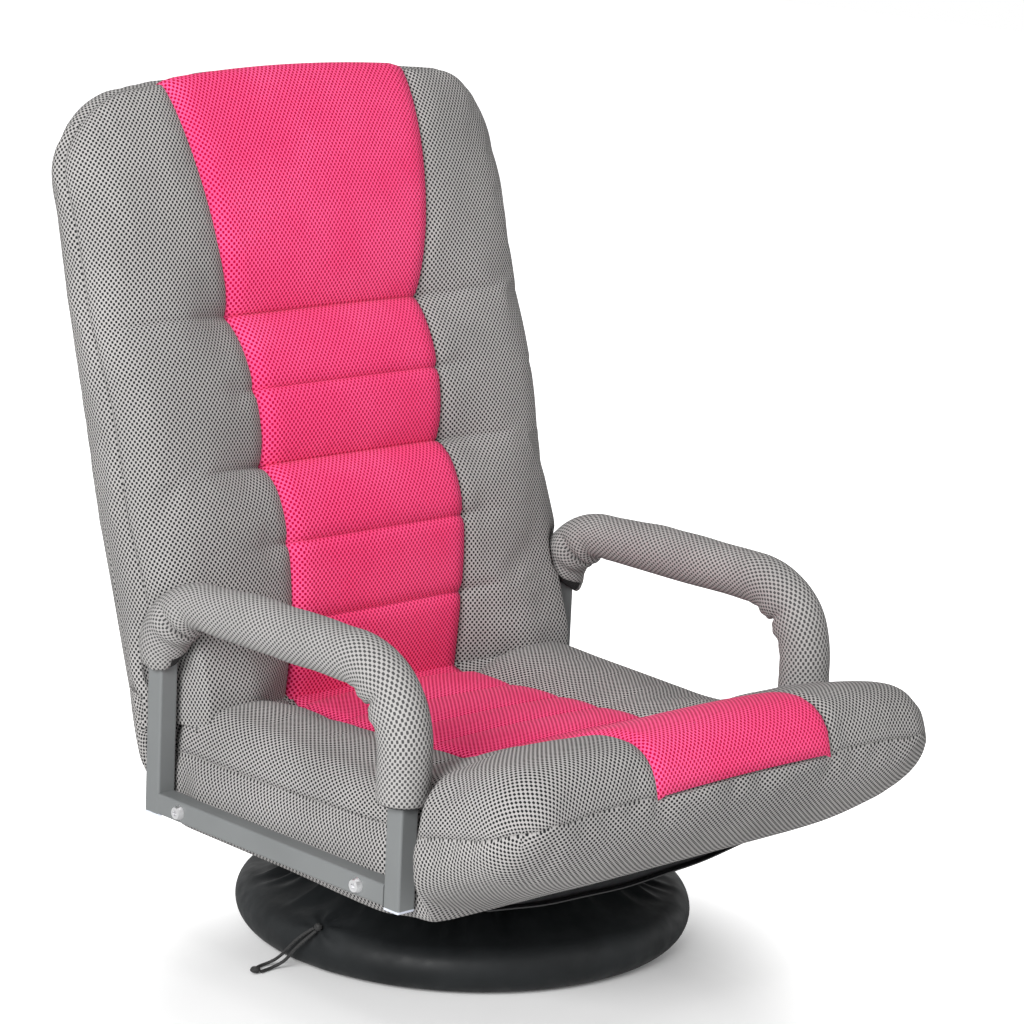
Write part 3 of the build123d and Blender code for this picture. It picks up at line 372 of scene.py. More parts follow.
def cutLines(low, high, step, marks=(), near=(), edge=0.0):
    # even lines, exact ones at the marks, close ones beside them and round the edges
    turns = [edge * (1 - math.sin(math.radians(a))) for a in (72, 54, 36, 18, 0)] if edge else []
    fixed = [low, high, *marks]
    close = [m + sign * gap for m in marks for gap in near for sign in (-1, 1)]
    close += [low + t for t in turns] + [high - t for t in turns]
    even = list(np.linspace(low, high, round((high - low) / step) + 1))
    kept = []
    for group, room in ((fixed, 1e-6), (close, 0.0011), (even, 0.45 * step)):
        for x in group:
            if low <= x <= high and all(abs(x - k) >= room for k in kept):
                kept.append(x)
    return np.array(sorted(kept))


def gridBox(name, cuts):
    # a cube primitive at its size, cut through at every line
    deselect()
    low = [line[0] for line in cuts]
    high = [line[-1] for line in cuts]
    bpy.ops.mesh.primitive_cube_add(size=1, location=[(a + b) / 2 for a, b in zip(low, high)])
    obj = started(name)
    obj.scale = [b - a for a, b in zip(low, high)]
    bpy.ops.object.transform_apply(location=True, rotation=False, scale=True)
    bpy.ops.object.mode_set(mode="EDIT")
    for axis, line in enumerate(cuts):
        facing = [float(axis == k) for k in range(3)]
        for place in line[1:-1]:
            bpy.ops.mesh.select_all(action="SELECT")
            bpy.ops.mesh.bisect(plane_co=[place * f for f in facing], plane_no=facing)
    bpy.ops.object.mode_set(mode="OBJECT")
    co = points(obj)
    index = np.stack([np.abs(co[:, k, None] - cuts[k][None]).argmin(1) for k in range(3)], 1)
    return obj, index


def openTube(name, around, rings, keepMap=False):
    # a cylinder primitive without ends, cut into even rings
    deselect()
    bpy.ops.mesh.primitive_cylinder_add(vertices=around, radius=1, depth=1, end_fill_type="NOTHING")
    obj = started(name, keepMap)
    bpy.ops.object.mode_set(mode="EDIT")
    for place in np.linspace(-0.5, 0.5, rings)[1:-1]:
        bpy.ops.mesh.select_all(action="SELECT")
        bpy.ops.mesh.bisect(plane_co=(0, 0, place), plane_no=(0, 0, 1))
    bpy.ops.object.mode_set(mode="OBJECT")
    return obj


def faceOut(obj):
    pick(obj)
    bpy.ops.object.mode_set(mode="EDIT")
    bpy.ops.mesh.select_all(action="SELECT")
    bpy.ops.mesh.normals_make_consistent(inside=False)
    bpy.ops.object.mode_set(mode="OBJECT")


def panelRuns(obj, index):
    # each panel's weave measured along its rows and columns, in metres
    co, faces = points(obj), quads(obj)
    last = index.max(0)
    panels = {}
    for axis in range(3):
        a, b = [k for k in range(3) if k != axis]
        for end in {0, last[axis]}:
            onPanel = index[:, axis] == end
            chosen = np.flatnonzero(onPanel[faces].all(1))
            grid = np.zeros((last[a] + 1, last[b] + 1, 3))
            grid[index[onPanel, a], index[onPanel, b]] = co[onPanel]
            alongA = np.linalg.norm(np.diff(grid, axis=0, prepend=grid[:1]), axis=2).cumsum(0)
            alongB = np.linalg.norm(np.diff(grid, axis=1, prepend=grid[:, :1]), axis=2).cumsum(1)
            alongA -= alongA[last[a] // 2][None]
            alongB -= alongB[:, last[b] // 2][:, None]
            ia, ib = index[faces[chosen], a], index[faces[chosen], b]
            if len(chosen):
                panels[axis, end > 0] = chosen, np.stack([alongA[ia, ib], alongB[ia, ib]], -1)
    return panels


def layCloth(obj, index, whole=()):
    # panels are cut at their seams and laid flat, then turned and scaled to lie along their own rows
    # the panels in whole, each an axis and an end, stay in one piece, with its rows the other way
    last = index.max(0)
    ends = np.empty(len(obj.data.edges) * 2, int)
    obj.data.edges.foreach_get("vertices", ends)
    first, second = index[ends[0::2]], index[ends[1::2]]
    shared = (first == second) & ((first == 0) | (first == last))
    cut = (shared.sum(1) > 1) & (last.min() > 0)
    kept = [shared[:, axis] & (first[:, axis] == last[axis] * end) for axis, end in whole]
    for other in kept[1:]:
        cut &= ~(kept[0] & other)
    obj.data.edges.foreach_set("use_seam", cut)
    obj.data.uv_layers.new(name="cloth")
    pick(obj)
    bpy.ops.object.mode_set(mode="EDIT")
    bpy.ops.mesh.select_all(action="SELECT")
    bpy.ops.uv.unwrap(method="MINIMUM_STRETCH", margin=0.0)
    bpy.ops.object.mode_set(mode="OBJECT")
    layer = obj.data.uv_layers["cloth"]
    uv = np.empty(len(obj.data.loops) * 2)
    layer.data.foreach_get("uv", uv)
    uv = uv.reshape(-1, 4, 2)
    panels = panelRuns(obj, index)
    groups = [[panel] for panel in panels if panel not in whole]
    groups += [list(whole)] if whole else []
    for group in groups:
        chosen, runs = panels[group[0]]
        flat, want = uv[chosen].reshape(-1, 2), runs.reshape(-1, 2)
        middle = flat.mean(0)
        left, _, right = np.linalg.svd((flat - middle).T @ (want - want.mean(0)))
        turn = left @ right
        if group[0] in whole:
            turn = turn @ np.array([[0, 1], [-1, 0]])
        steps = [np.linalg.norm(np.diff(v.reshape(-1, 4, 2), axis=1), axis=2).sum() for v in (flat, want)]
        for panel in group:
            uv[panels[panel][0]] = (uv[panels[panel][0]] - middle) @ turn * (steps[1] / steps[0])
    layer.data.foreach_set("uv", uv.ravel().astype(np.float32))


def curveThrough(pairs):
    # smooth line through a few places, as a function of the first number
    place = np.array([p[0] for p in pairs])
    value = np.array([p[1] for p in pairs])
    slope = np.gradient(value, place)

    def at(x):
        x = np.clip(x, place[0], place[-1])
        k = np.clip(np.searchsorted(place, x) - 1, 0, len(place) - 2)
        run = place[k + 1] - place[k]
        t = (x - place[k]) / run
        return (
            (2 * t**3 - 3 * t**2 + 1) * value[k]
            + (t**3 - 2 * t**2 + t) * run * slope[k]
            + (3 * t**2 - 2 * t**3) * value[k + 1]
            + (t**3 - t**2) * run * slope[k + 1]
        )

    return at


def step01(x, low, high):
    t = np.clip((x - low) / (high - low), 0, 1)
    return t * t * (3 - 2 * t)


def puff(x, low, high, rise=0.6, fall=0.6):
    t = np.clip((x - low) / (high - low), 0, 1)
    peak = rise / (rise + fall)
    return t**rise * (1 - t) ** fall / (peak**rise * (1 - peak) ** fall)


def roundOver(inside, radius):
    # how far an edge has turned over, a given distance inside it
    left = np.clip(radius - inside, 0, radius)
    return radius - np.sqrt(np.maximum(radius**2 - left**2, 0))


def ripple(co, scale, amount):
    return amount * np.array([noise.noise(Vector(p) * scale) for p in co])


def plumpNormals(grid):
    across = np.gradient(grid, axis=0)
    along = np.gradient(grid, axis=1)
    facing = np.cross(across, along)
    return facing / np.maximum(np.linalg.norm(facing, axis=2, keepdims=True), 1e-9)


def gridPanel(name, grid, thick, marks=None):
    # a sewn-in panel from a plane primitive, laid on a grid of places and given its thickness
    rows, columns = grid.shape[:2]
    deselect()
    bpy.ops.mesh.primitive_grid_add(x_subdivisions=rows - 1, y_subdivisions=columns - 1, size=2)
    obj = started(name)
    flat = points(obj)
    ia = np.rint((flat[:, 0] + 1) / 2 * (rows - 1)).astype(int)
    ib = np.rint((flat[:, 1] + 1) / 2 * (columns - 1)).astype(int)
    setPoints(obj, grid[ia, ib])
    # marks, when given, are painted shade along the panel's sewn creases
    if marks is not None:
        paintShadeAndTape(obj, marks[ia, ib])
    layCloth(obj, np.stack([ia, ib, np.zeros(len(ia), int)], 1))
    applyModifier(obj, "SOLIDIFY", thickness=thick, offset=-1.0)
    return obj


swellSpec = {"quality": 6, "pressure": 3.0, "shrink": -0.012, "frames": 20, "most": 0.005}


def plump(obj, sewn):
    # cloth held at its seams and filled from inside, with a limit on how far it may move
    before = points(obj)
    group = obj.vertex_groups.new(name="sewn")
    group.add([int(i) for i in np.flatnonzero(sewn)], 1.0, "REPLACE")
    cloth = obj.modifiers.new("cloth", "CLOTH")
    cloth.settings.quality = swellSpec["quality"]
    cloth.settings.vertex_group_mass = "sewn"
    cloth.settings.use_pressure = True
    cloth.settings.uniform_pressure_force = swellSpec["pressure"]
    cloth.settings.shrink_min = swellSpec["shrink"]
    cloth.settings.effector_weights.gravity = 0
    cloth.collision_settings.use_collision = False
    cloth.collision_settings.use_self_collision = False
    cloth.point_cache.frame_start, cloth.point_cache.frame_end = 1, swellSpec["frames"]
    for step in range(swellSpec["frames"]):
        scene.frame_set(step + 1)
    pick(obj)
    bpy.ops.object.modifier_apply(modifier="cloth")
    scene.frame_set(1)
    obj.vertex_groups.remove(obj.vertex_groups["sewn"])
    moved = points(obj) - before
    far = np.linalg.norm(moved, axis=1)
    most = swellSpec["most"]
    setPoints(obj, before + moved * np.minimum(1, most / np.maximum(far, 1e-9))[:, None])
    print(obj.name, "swells by up to", round(1000 * min(most, far.max()), 1), "mm")


def sewCover(obj, index, whole=()):
    layCloth(obj, index, whole)
    applyModifier(obj, "SUBSURF", levels=1, render_levels=1)
    smooth(obj)


def sewPad(obj, index, shown, off, held, shadedSeams, dark, whole=()):
    # strip and edges are sewn down, the rest swells, and the cover is laid over it
    # off is how far a place of the shown panel lies outside the strip's seam
    atEdge = (index == 0).sum(1) + (index == index.max(0)).sum(1) > 1
    plump(obj, (shown & (off < 0.004)) | atEdge | held)
    # painted shade in the creases of the edge seams and along the strip's seam; dark sets how dark it is
    paintShadeAndTape(obj, shown * np.maximum(dark * shadedSeams, 0.5 * (np.abs(off) < 0.0005)))
    sewCover(obj, index, whole)


def roundCorner(a, b, corner):
    # a and b run outward from the corner's middle, and are bent round it
    # with them come how far inside the side and the end that is, and the side's share of the turn
    inCorner = (a > 0) & (b > 0)
    most = np.maximum(a, b)
    far = np.maximum(np.hypot(a, b), 1e-9)
    bent = np.where(inCorner, most / far, 1)
    sideIn, endIn = [np.where(inCorner, corner - most, corner - c) for c in (a, b)]
    sideShare = np.where(inCorner, (a / far) ** 2, sideIn < endIn)
    return a * bent, b * bent, sideIn, endIn, sideShare


# drawstring
cordSpec = {
    "diameter": 0.003,
    "strands": {
        "drawstringA": {
            "node": "drawstring_strand_a",
            "length": 0.0808,
            "route": (
                (-0.2095, -0.0285, 0.0430), (-0.2150, -0.0240, 0.0385), (-0.2195, -0.0175, 0.0315),
                (-0.2215, -0.0090, 0.0220), (-0.2222, -0.0008, 0.0128), (-0.2245, 0.0070, 0.0055),
                (-0.2310, 0.0110, 0.0022), (-0.2405, 0.0108, 0.0018), (-0.2480, 0.0063, 0.0019),
            ),
        },
        "drawstringB": {
            "node": "drawstring_strand_b",
            "length": 0.0738,
            "route": (
                (-0.2115, -0.0335, 0.0420), (-0.2175, -0.0310, 0.0370), (-0.2220, -0.0255, 0.0300),
                (-0.2238, -0.0175, 0.0210), (-0.2232, -0.0095, 0.0120), (-0.2258, -0.0032, 0.0055),
                (-0.2325, 0.0002, 0.0023), (-0.2403, -0.0006, 0.0018), (-0.2470, -0.0014, 0.0019),
            ),
        },
    },
}


def tiedKnot(name, node, turns):
    # a small wrapped knot: a ball primitive with the cord's turns pressed into it
    low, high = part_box(node)
    middle, half = (low + high) / 2, (high - low) / 2
    deselect()
    bpy.ops.mesh.primitive_uv_sphere_add(segments=32, ring_count=20, radius=1.0)
    obj = started(name, keepMap=True)
    co = points(obj)
    turn = np.arctan2(co[:, 1], co[:, 0])
    wrap = np.abs(np.sin(turn + turns * co[:, 2]))
    co *= (0.80 + 0.20 * wrap)[:, None]
    setPoints(obj, co * np.array(half) + np.array(middle))
    smooth(obj)
    return dress(obj, blackCord, "cord", "base", node)


exitKnot = tiedKnot("drawstringExitKnot", "drawstring_exit_knot", 5.0)
endKnot = tiedKnot("drawstringEndKnot", "drawstring_end_knot", 4.0)
for name, spec in cordSpec["strands"].items():
    curve = bpy.data.curves.new(name, "CURVE")
    curve.dimensions = "3D"
    spline = curve.splines.new("NURBS")
    spline.points.add(len(spec["route"]) - 1)
    for point, place in zip(spline.points, spec["route"]):
        point.co = (*place, 1.0)
    spline.order_u = 3
    spline.use_endpoint_u = True
    curve.resolution_u = 10
    curve.bevel_depth = cordSpec["diameter"] / 2
    curve.bevel_resolution = 4
    curve.use_fill_caps = True
    strand = bpy.data.objects.new(name, curve)
    scene.collection.objects.link(strand)
    dress(strand, blackCord, "cord", "base", spec["node"])
print("drawstring laid")

# back
hinge = next(j for j in frame["joints"] if j["name"] == "recline")
hingeY, hingeZ = hinge["pos_m"][1], hinge["pos_m"][2]
lean = math.radians(17.3)
sinLean, cosLean = math.sin(lean), math.cos(lean)

backSpec = {
    "halfWidth": 0.264,
    "top": 0.588,
    "foot": -0.010,
    "rear": 0.071,
    "rearTop": 0.054,
    "corner": 0.072,
    "sideRound": 0.027,
    "sideRoundWide": 0.044,
    "topRound": 0.007,
    "taper": 0.007,  # narrower towards the seat, each side
    "crown": 0.022,
    "tilt": 0.003,  # one upper corner sits higher than the other
    "rearRound": 0.022,
    "boxBulge": 0.004,
    "creases": ((-0.016, 0.020), (0.211, -0.001), (0.355, 0.004), (0.592, 0.010)),
    "puffs": ((0.0355, 1.1, 0.5), (0.0240, 0.6, 0.6), (0.0315, 0.6, 0.6)),
    "channels": (0.283, 0.137, 0.064),
    "channelDepth": 0.0048,
    "channelWidth": 0.0048,
    "stripCrown": 0.003,
    "wingCrown": 0.007,
    "pullWidth": 0.040,  # how far the strip's shape reaches into the wings
    "sleeveDent": 0.010,
    "rearBulge": 0.005,
    "armGap": 0.003,
    "footLift": 0.024,  # it slopes up behind the crease
    "footDrop": 0.009,  # lower in front of the hinges
    "seamDepth": 0.0045,
    "boxSeam": 0.0012,
    "stripSeam": 0.115,  # column of the grid that follows the strip's seam
    "sunk": 0.0035,  # grey cover under the strip
}
stripHalf = curveThrough((
    (-0.02, 0.107), (0.06, 0.1065), (0.137, 0.1095), (0.211, 0.110), (0.283, 0.114),
    (0.355, 0.118), (0.43, 0.130), (0.51, 0.141), (0.59, 0.150),
))
wingDepth = curveThrough((
    (-0.02, 0.012), (0.05, -0.013), (0.137, -0.021), (0.211, -0.017), (0.283, -0.016),
    (0.355, -0.010), (0.47, -0.010), (0.59, 0.006),
))
hingeDepth = curveThrough((
    (-0.012, -0.008), (-0.004, -0.0175), (0.006, -0.0225), (0.04, -0.0235), (0.08, -0.0215),
    (0.137, -0.0210),
))
armSpec = {
    "x": 0.252, "front": -0.188, "rear": 0.145, "top": 0.325,
    "frontBend": 0.070, "rearBend": 0.060, "frontEnd": 0.211, "rearEnd": 0.262,
    "radius": 0.024, "postHalf": 0.012,
}
clothStep = 0.0085  # between the lines of a padded cover
besideSeam, besideCrease = (0.0035,), (0.0025, 0.006)  # closer lines beside these


def backPlace(u, v, w):
    return np.stack([u, hingeY + v * sinLean + w * cosLean, hingeZ + v * cosLean - w * sinLean], -1)


def stripDepth(v):
    creaseUp = np.array([c[0] for c in backSpec["creases"]])
    creaseIn = np.array([c[1] for c in backSpec["creases"]])
    depth = np.interp(v, creaseUp, creaseIn)
    for low, high, (height, rise, fall) in zip(creaseUp, creaseUp[1:], backSpec["puffs"]):
        depth = depth - height * puff(v, low, high, rise, fall) * ((v >= low) & (v <= high))
    for place in backSpec["channels"]:
        depth = depth + backSpec["channelDepth"] * np.exp(-(((v - place) / backSpec["channelWidth"]) ** 2))
    return depth


def backOutline(s, v):
    # column s and height v to a place across the back,
    # how far inside the outline it is, and how far the edge has turned over there
    top, corner, seam = backSpec["top"], backSpec["corner"], backSpec["stripSeam"]
    width = backSpec["halfWidth"] - backSpec["taper"] * (1 - step01(v, 0.10, 0.45))
    half = stripHalf(v)
    size = np.abs(s)
    outer = half + (size - seam) * (width - half) / (backSpec["halfWidth"] - seam)
    u = np.where(size <= seam, size * half / seam, outer)
    across, up, sideIn, topIn, sideShare = roundCorner(u - (width - corner), v - (top - corner), corner)
    u = width - corner + across
    v = top - corner + up
    inside = np.maximum(np.minimum(sideIn, topIn), 0)
    deep = backSpec["topRound"] + (backSpec["sideRound"] - backSpec["topRound"]) * sideShare
    wide = backSpec["topRound"] + (backSpec["sideRoundWide"] - backSpec["topRound"]) * sideShare
    turned = roundOver(inside * deep / wide, deep)
    u = np.sign(s) * u
    share = u / backSpec["halfWidth"]
    v = v + (backSpec["tilt"] * share - backSpec["crown"] * share**2) * step01(v, 0.30, top)
    return u, v, inside, turned


def frontDepth(s, u, v):
    seam = backSpec["stripSeam"]
    away = np.maximum(np.abs(u) - stripHalf(v), 0)
    pull = np.exp(-((away / backSpec["pullWidth"]) ** 1.5))
    strip = stripDepth(v) - backSpec["stripCrown"] * (1 - np.clip(np.abs(s) / seam, 0, 1) ** 2)
    width = backSpec["halfWidth"] - stripHalf(v)
    crown = backSpec["wingCrown"] * np.sin(math.pi * np.clip(away / width, 0, 1)) ** 1.2
    depth = wingDepth(v) + (strip - wingDepth(v)) * pull - crown
    overHinge = step01(np.abs(u), 0.105, 0.197 - 0.2 * np.clip(v, 0, 0.1)) * (1 - step01(v, 0.07, 0.160))
    depth = depth + (hingeDepth(v) - depth) * overHinge
    bySleeve = np.exp(-(((v - 0.17) / 0.06) ** 2))
    depth = depth + backSpec["sleeveDent"] * step01(np.abs(u), 0.20, 0.262) * bySleeve
    return depth + backSpec["seamDepth"] * np.exp(-(((np.abs(s) - seam) / 0.0045) ** 2))


def rearDepth(v):
    taper = step01(v, 0.20, 0.60)
    depth = backSpec["rear"] + (backSpec["rearTop"] - backSpec["rear"]) * taper
    return depth + backSpec["rearBulge"] * puff(v, -0.02, 0.60)


def behindArms(co, gap):
    # soft sides give way to the arms: they pass behind the posts and are dented by the sleeves
    co = co.copy()
    out, height = np.abs(co[:, 0]), co[:, 2]
    postZone = 1 - step01(height, 0.255, 0.285)
    wall = step01(out, 0.2140, 0.2395) * postZone
    least = armSpec["rear"] + armSpec["postHalf"] + gap - 0.2 * (1 - wall)
    co[:, 1] = np.maximum(co[:, 1], least)
    for _ in range(60):
        near = armDistance(co)
        short = np.where(co[:, 1] > 0.05, armSpec["radius"] + gap - near, 0)
        co[:, 1] += np.clip(short, 0, 0.004)
    return co


def armDistance(co):
    # from places to the middle line of the sleeve on their side
    a = armSpec
    out = np.abs(co[:, 0]) - a["x"]
    y, z = co[:, 1], co[:, 2]
    bendY, bendZ = a["rear"] - a["rearBend"], a["top"] - a["rearBend"]
    turning = (y > bendY) & (z > bendZ)
    inPlane = np.where(
        turning,
        np.abs(np.hypot(y - bendY, z - bendZ) - a["rearBend"]),
        np.where(z <= bendZ, np.hypot(y - a["rear"], np.maximum(a["rearEnd"] - z, 0)), np.abs(z - a["top"])),
    )
    return np.hypot(out, inPlane)


def backSurface(s, t, v0):
    # t is 0 on the front panel, 1 on the rear one
    u, v, inside, turned = backOutline(s, v0)
    front = frontDepth(s, u, v) + turned
    place = backPlace(u, v, front)
    given = behindArms(place.reshape(-1, 3), backSpec["armGap"]).reshape(place.shape)
    front = front + (given - place)[..., 1] / cosLean
    rear = rearDepth(v) - roundOver(inside, backSpec["rearRound"])
    w = front + (np.maximum(rear, front + 0.02) - front) * t
    onSide = np.clip(1 - inside / 0.0015, 0, 1)
    bulge = onSide * (backSpec["boxBulge"] * np.sin(math.pi * t) - backSpec["boxSeam"] * (t < 0.01))
    overX = np.maximum(np.abs(u) - backSpec["halfWidth"] + backSpec["corner"], 0)
    overV = np.maximum(v - backSpec["top"] + backSpec["corner"], 0)
    turn = np.hypot(overX, overV) + 1e-9
    u = u + np.sign(u) * bulge * overX / turn
    v = v + bulge * overV / turn
    nearFoot = 1 - step01(v, -0.010, 0.030)
    overHinge = step01(np.abs(u), 0.150, 0.180) * (1 - step01(np.abs(u), 0.240, 0.252))
    lift = step01(w - np.maximum(front, 0), 0.004, 0.026) * backSpec["footLift"] * nearFoot
    return u, v + lift - backSpec["footDrop"] * overHinge * nearFoot * (1 - step01(w, 0.0, 0.02)), w


seamColumns = (-backSpec["stripSeam"], backSpec["stripSeam"])
armColumns = (-0.238, -0.231, -0.224, 0.224, 0.231, 0.238)
creaseRows = [c[0] for c in backSpec["creases"][1:3]] + list(backSpec["channels"])
backCuts = (
    cutLines(
        -backSpec["halfWidth"], backSpec["halfWidth"], clothStep,
        seamColumns + armColumns, besideSeam, backSpec["sideRoundWide"],
    ),
    np.linspace(0, 1, 9),
    cutLines(backSpec["foot"], backSpec["top"], clothStep, creaseRows, besideCrease, backSpec["topRound"]),
)
backPad, backIndex = gridBox("backPad", backCuts)
flat = points(backPad)
u, v, w = backSurface(flat[:, 0], flat[:, 1], flat[:, 2])
onFront = backIndex[:, 1] == 0
off = np.abs(flat[:, 0]) - backSpec["stripSeam"]
shape = backPlace(u, v, w + backSpec["sunk"] * (onFront & (off < -0.002)))
setPoints(backPad, shape)
byArms = (np.abs(shape[:, 0]) > 0.20) & (shape[:, 2] < 0.37)
# the back's edge seams, which get painted shade in their creases
shadedSeams = (backIndex[:, 0] % backIndex[:, 0].max() == 0) | (backIndex[:, 2] == backIndex[:, 2].max())
sewPad(backPad, backIndex, onFront, off, byArms | (backIndex[:, 2] == 0), shadedSeams, 0.40)
dress(
    backPad, greyMesh, "grey_mesh", "backrest",
    "back_cushion", "left_back_wing", "right_back_wing", "back_lower_roll",
)
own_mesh(backPad)

stripSpec = {"thick": 0.0022, "edge": 0.010, "tuck": 0.0012, "rise": 0.0032}


def sewnStrip(name, surface, columns, rows, half, sewnRows, dark, order=1):
    # a strip raised from the cover between its seams, with painted shade along the rows where it is sewn down into
    # creases
    s, along = np.meshgrid(columns[np.abs(columns) <= half + 1e-6], rows, indexing="ij")
    grid = surface(s, along)
    edge = np.minimum(half - np.abs(s), stripSpec["edge"]) / stripSpec["edge"]
    raised = stripSpec["rise"] * np.sqrt(np.clip(edge, 0, 1)) - stripSpec["tuck"]
    grid = grid + plumpNormals(grid) * raised[..., None]
    sewn = np.abs(along[..., None] - np.array(sewnRows)).min(-1) < 0.0005
    strip = gridPanel(name, grid[::order], stripSpec["thick"], dark * sewn)
    smooth(strip)
    return strip


def backFront(s, v):
    return backPlace(*backSurface(s, np.zeros_like(s), v))


backStrip = sewnStrip(
    "backStrip", backFront, backCuts[0], backCuts[2], backSpec["stripSeam"], creaseRows, 0.55, order=-1
)
dress(backStrip, pinkMesh, "pink_mesh", "backrest", "back_centre_panel")
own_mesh(backStrip)
print("back padded:", len(backPad.data.polygons), "faces")

# black lining panel down the rear of the back, round at its upper end
liningSpec = {"half": 0.122, "foot": 0.022, "top": 0.470, "lift": 0.0035, "pucker": 0.0018, "thick": 0.0015}
rearAcross, rearAlong = np.meshgrid(np.linspace(-1, 1, 25), np.linspace(0, 1, 61), indexing="ij")
rearUp = liningSpec["foot"] + (liningSpec["top"] - liningSpec["foot"]) * rearAlong
endRun = np.clip((rearUp - (liningSpec["top"] - liningSpec["half"])) / liningSpec["half"], 0, 1)
rearOut = rearAcross * liningSpec["half"] * np.sqrt(np.maximum(1 - endRun**2, 0.0004))


def liningDepth(across, along, v):
    inside = 1 - np.abs(across)
    pucker = liningSpec["pucker"] * np.sin(across * 16 + 2.0 * np.sin(along * 5)) * step01(inside, 0.0, 0.3)
    return rearDepth(v) + liningSpec["lift"] * np.sqrt(np.clip(inside / 0.25, 0, 1)) + pucker


rearPlaces = backPlace(rearOut, rearUp, liningDepth(rearAcross, rearAlong, rearUp))
rearLining = gridPanel("backRearLining", rearPlaces, liningSpec["thick"])
smooth(rearLining)
dress(rearLining, blackLining, "black_cloth", "backrest", "back_rear_panel")
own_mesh(rearLining)

# seat
seatSpec = {
    "halfWidth": 0.238,
    "rollHalf": 0.2700,
    "rear": 0.122,
    "sideRear": 0.146,
    "reachAt": (0.217, 0.229),  # outside this the sides reach further back
    "front": -0.353,
    "earAt": -0.2185,
    "corner": 0.050,
    "frontRound": 0.036,
    "sideRound": 0.030,
    "rollRound": 0.046,
    "rearRound": 0.014,
    "lowRound": 0.010,
    "rollLowEnds": (0.13, 0.050),  # in from the roll's ends, and up
    "rollLowFront": (0.060, 0.030),  # in from its front, and up
    "strip": 0.111,
    "sunk": 0.0035,
    "seamDepth": 0.004,
    "boxSeam": 0.0034,
    "stripCrown": 0.002,
    "wingCrown": 0.004,
    "rollSag": 0.010,  # lower towards the roll's ends
    "pullWidth": 0.034,
    "sideBand": 0.0055,  # the boxing hangs lower along the rails
    "rollSwell": 0.055,  # share of the boxing's height
    "sideSwell": 0.008,
    "creases": ((0.150, 0.196), (0.055, 0.1985), (-0.013, 0.2025), (-0.066, 0.2050), (-0.122, 0.2085)),
    "puffs": (0.0062, 0.0052, 0.0045, 0.0045),
}
rollTop = curveThrough((
    (-0.40, 0.245), (-0.36, 0.266), (-0.33, 0.2745), (-0.299, 0.2755), (-0.26, 0.2645),
    (-0.216, 0.2455), (-0.17, 0.2245), (-0.145, 0.2145), (-0.122, 0.2085),
))
sideTop = curveThrough((
    (-0.40, 0.240), (-0.36, 0.262), (-0.33, 0.269), (-0.299, 0.269), (-0.26, 0.2585), (-0.216, 0.2415),
    (-0.17, 0.2215), (-0.135, 0.2105), (-0.10, 0.2072), (-0.06, 0.2083), (-0.009, 0.2103), (0.047, 0.2123),
    (0.091, 0.2145), (0.134, 0.2155), (0.146, 0.2155),
))
seamHeight = curveThrough((
    (-0.40, 0.235), (-0.353, 0.2245), (-0.307, 0.2100), (-0.278, 0.2035), (-0.245, 0.1960), (-0.20, 0.1850),
    (-0.15, 0.1778), (-0.09, 0.1756), (-0.01, 0.1726), (0.07, 0.1714), (0.14, 0.1714),
))
underAt = curveThrough((
    (-0.40, 0.208), (-0.352, 0.1765), (-0.335, 0.1618), (-0.30, 0.1450), (-0.27, 0.1313), (-0.25, 0.1222),
    (-0.230, 0.1125), (-0.212, 0.1050), (-0.19, 0.103), (0.0, 0.104), (0.14, 0.105),
))


def seatStripTop(y, off):
    creaseAt = np.array([c[0] for c in seatSpec["creases"]])
    creaseUp = np.array([c[1] for c in seatSpec["creases"]])
    height = np.interp(y, creaseAt[::-1], creaseUp[::-1])
    for near, far, rise in zip(creaseAt, creaseAt[1:], seatSpec["puffs"]):
        height = height + rise * puff(y, far, near) * ((y >= far) & (y <= near)) * (1 - 0.6 * off**3)
    return np.where(y < creaseAt[-1], rollTop(y), height)


def seatWidth(y):
    ear = step01(-y, -seatSpec["earAt"] - 0.005, -seatSpec["earAt"] + 0.004)
    return seatSpec["halfWidth"] + (seatSpec["rollHalf"] - seatSpec["halfWidth"]) * ear


def seatOutline(s, y0):
    half, seam = seatSpec["halfWidth"], seatSpec["strip"]
    corner, front = seatSpec["corner"], seatSpec["front"]
    size = np.abs(s)
    reach = (seatSpec["sideRear"] - seatSpec["rear"]) * step01(size, *seatSpec["reachAt"])
    y0 = y0 + reach * step01(y0, 0.02, seatSpec["rear"])
    width = seatWidth(y0)
    x = np.where(size <= seam, size, seam + (size - seam) * (width - seam) / (half - seam))
    across, ahead, sideIn, frontIn, sideShare = roundCorner(x - (width - corner), front + corner - y0, corner)
    x = width - corner + across
    y = front + corner - ahead
    rearIn = np.maximum(seatSpec["rear"] + reach - y, 0)
    return np.sign(s) * x, y, np.maximum(sideIn, 0), np.maximum(frontIn, 0), rearIn, sideShare


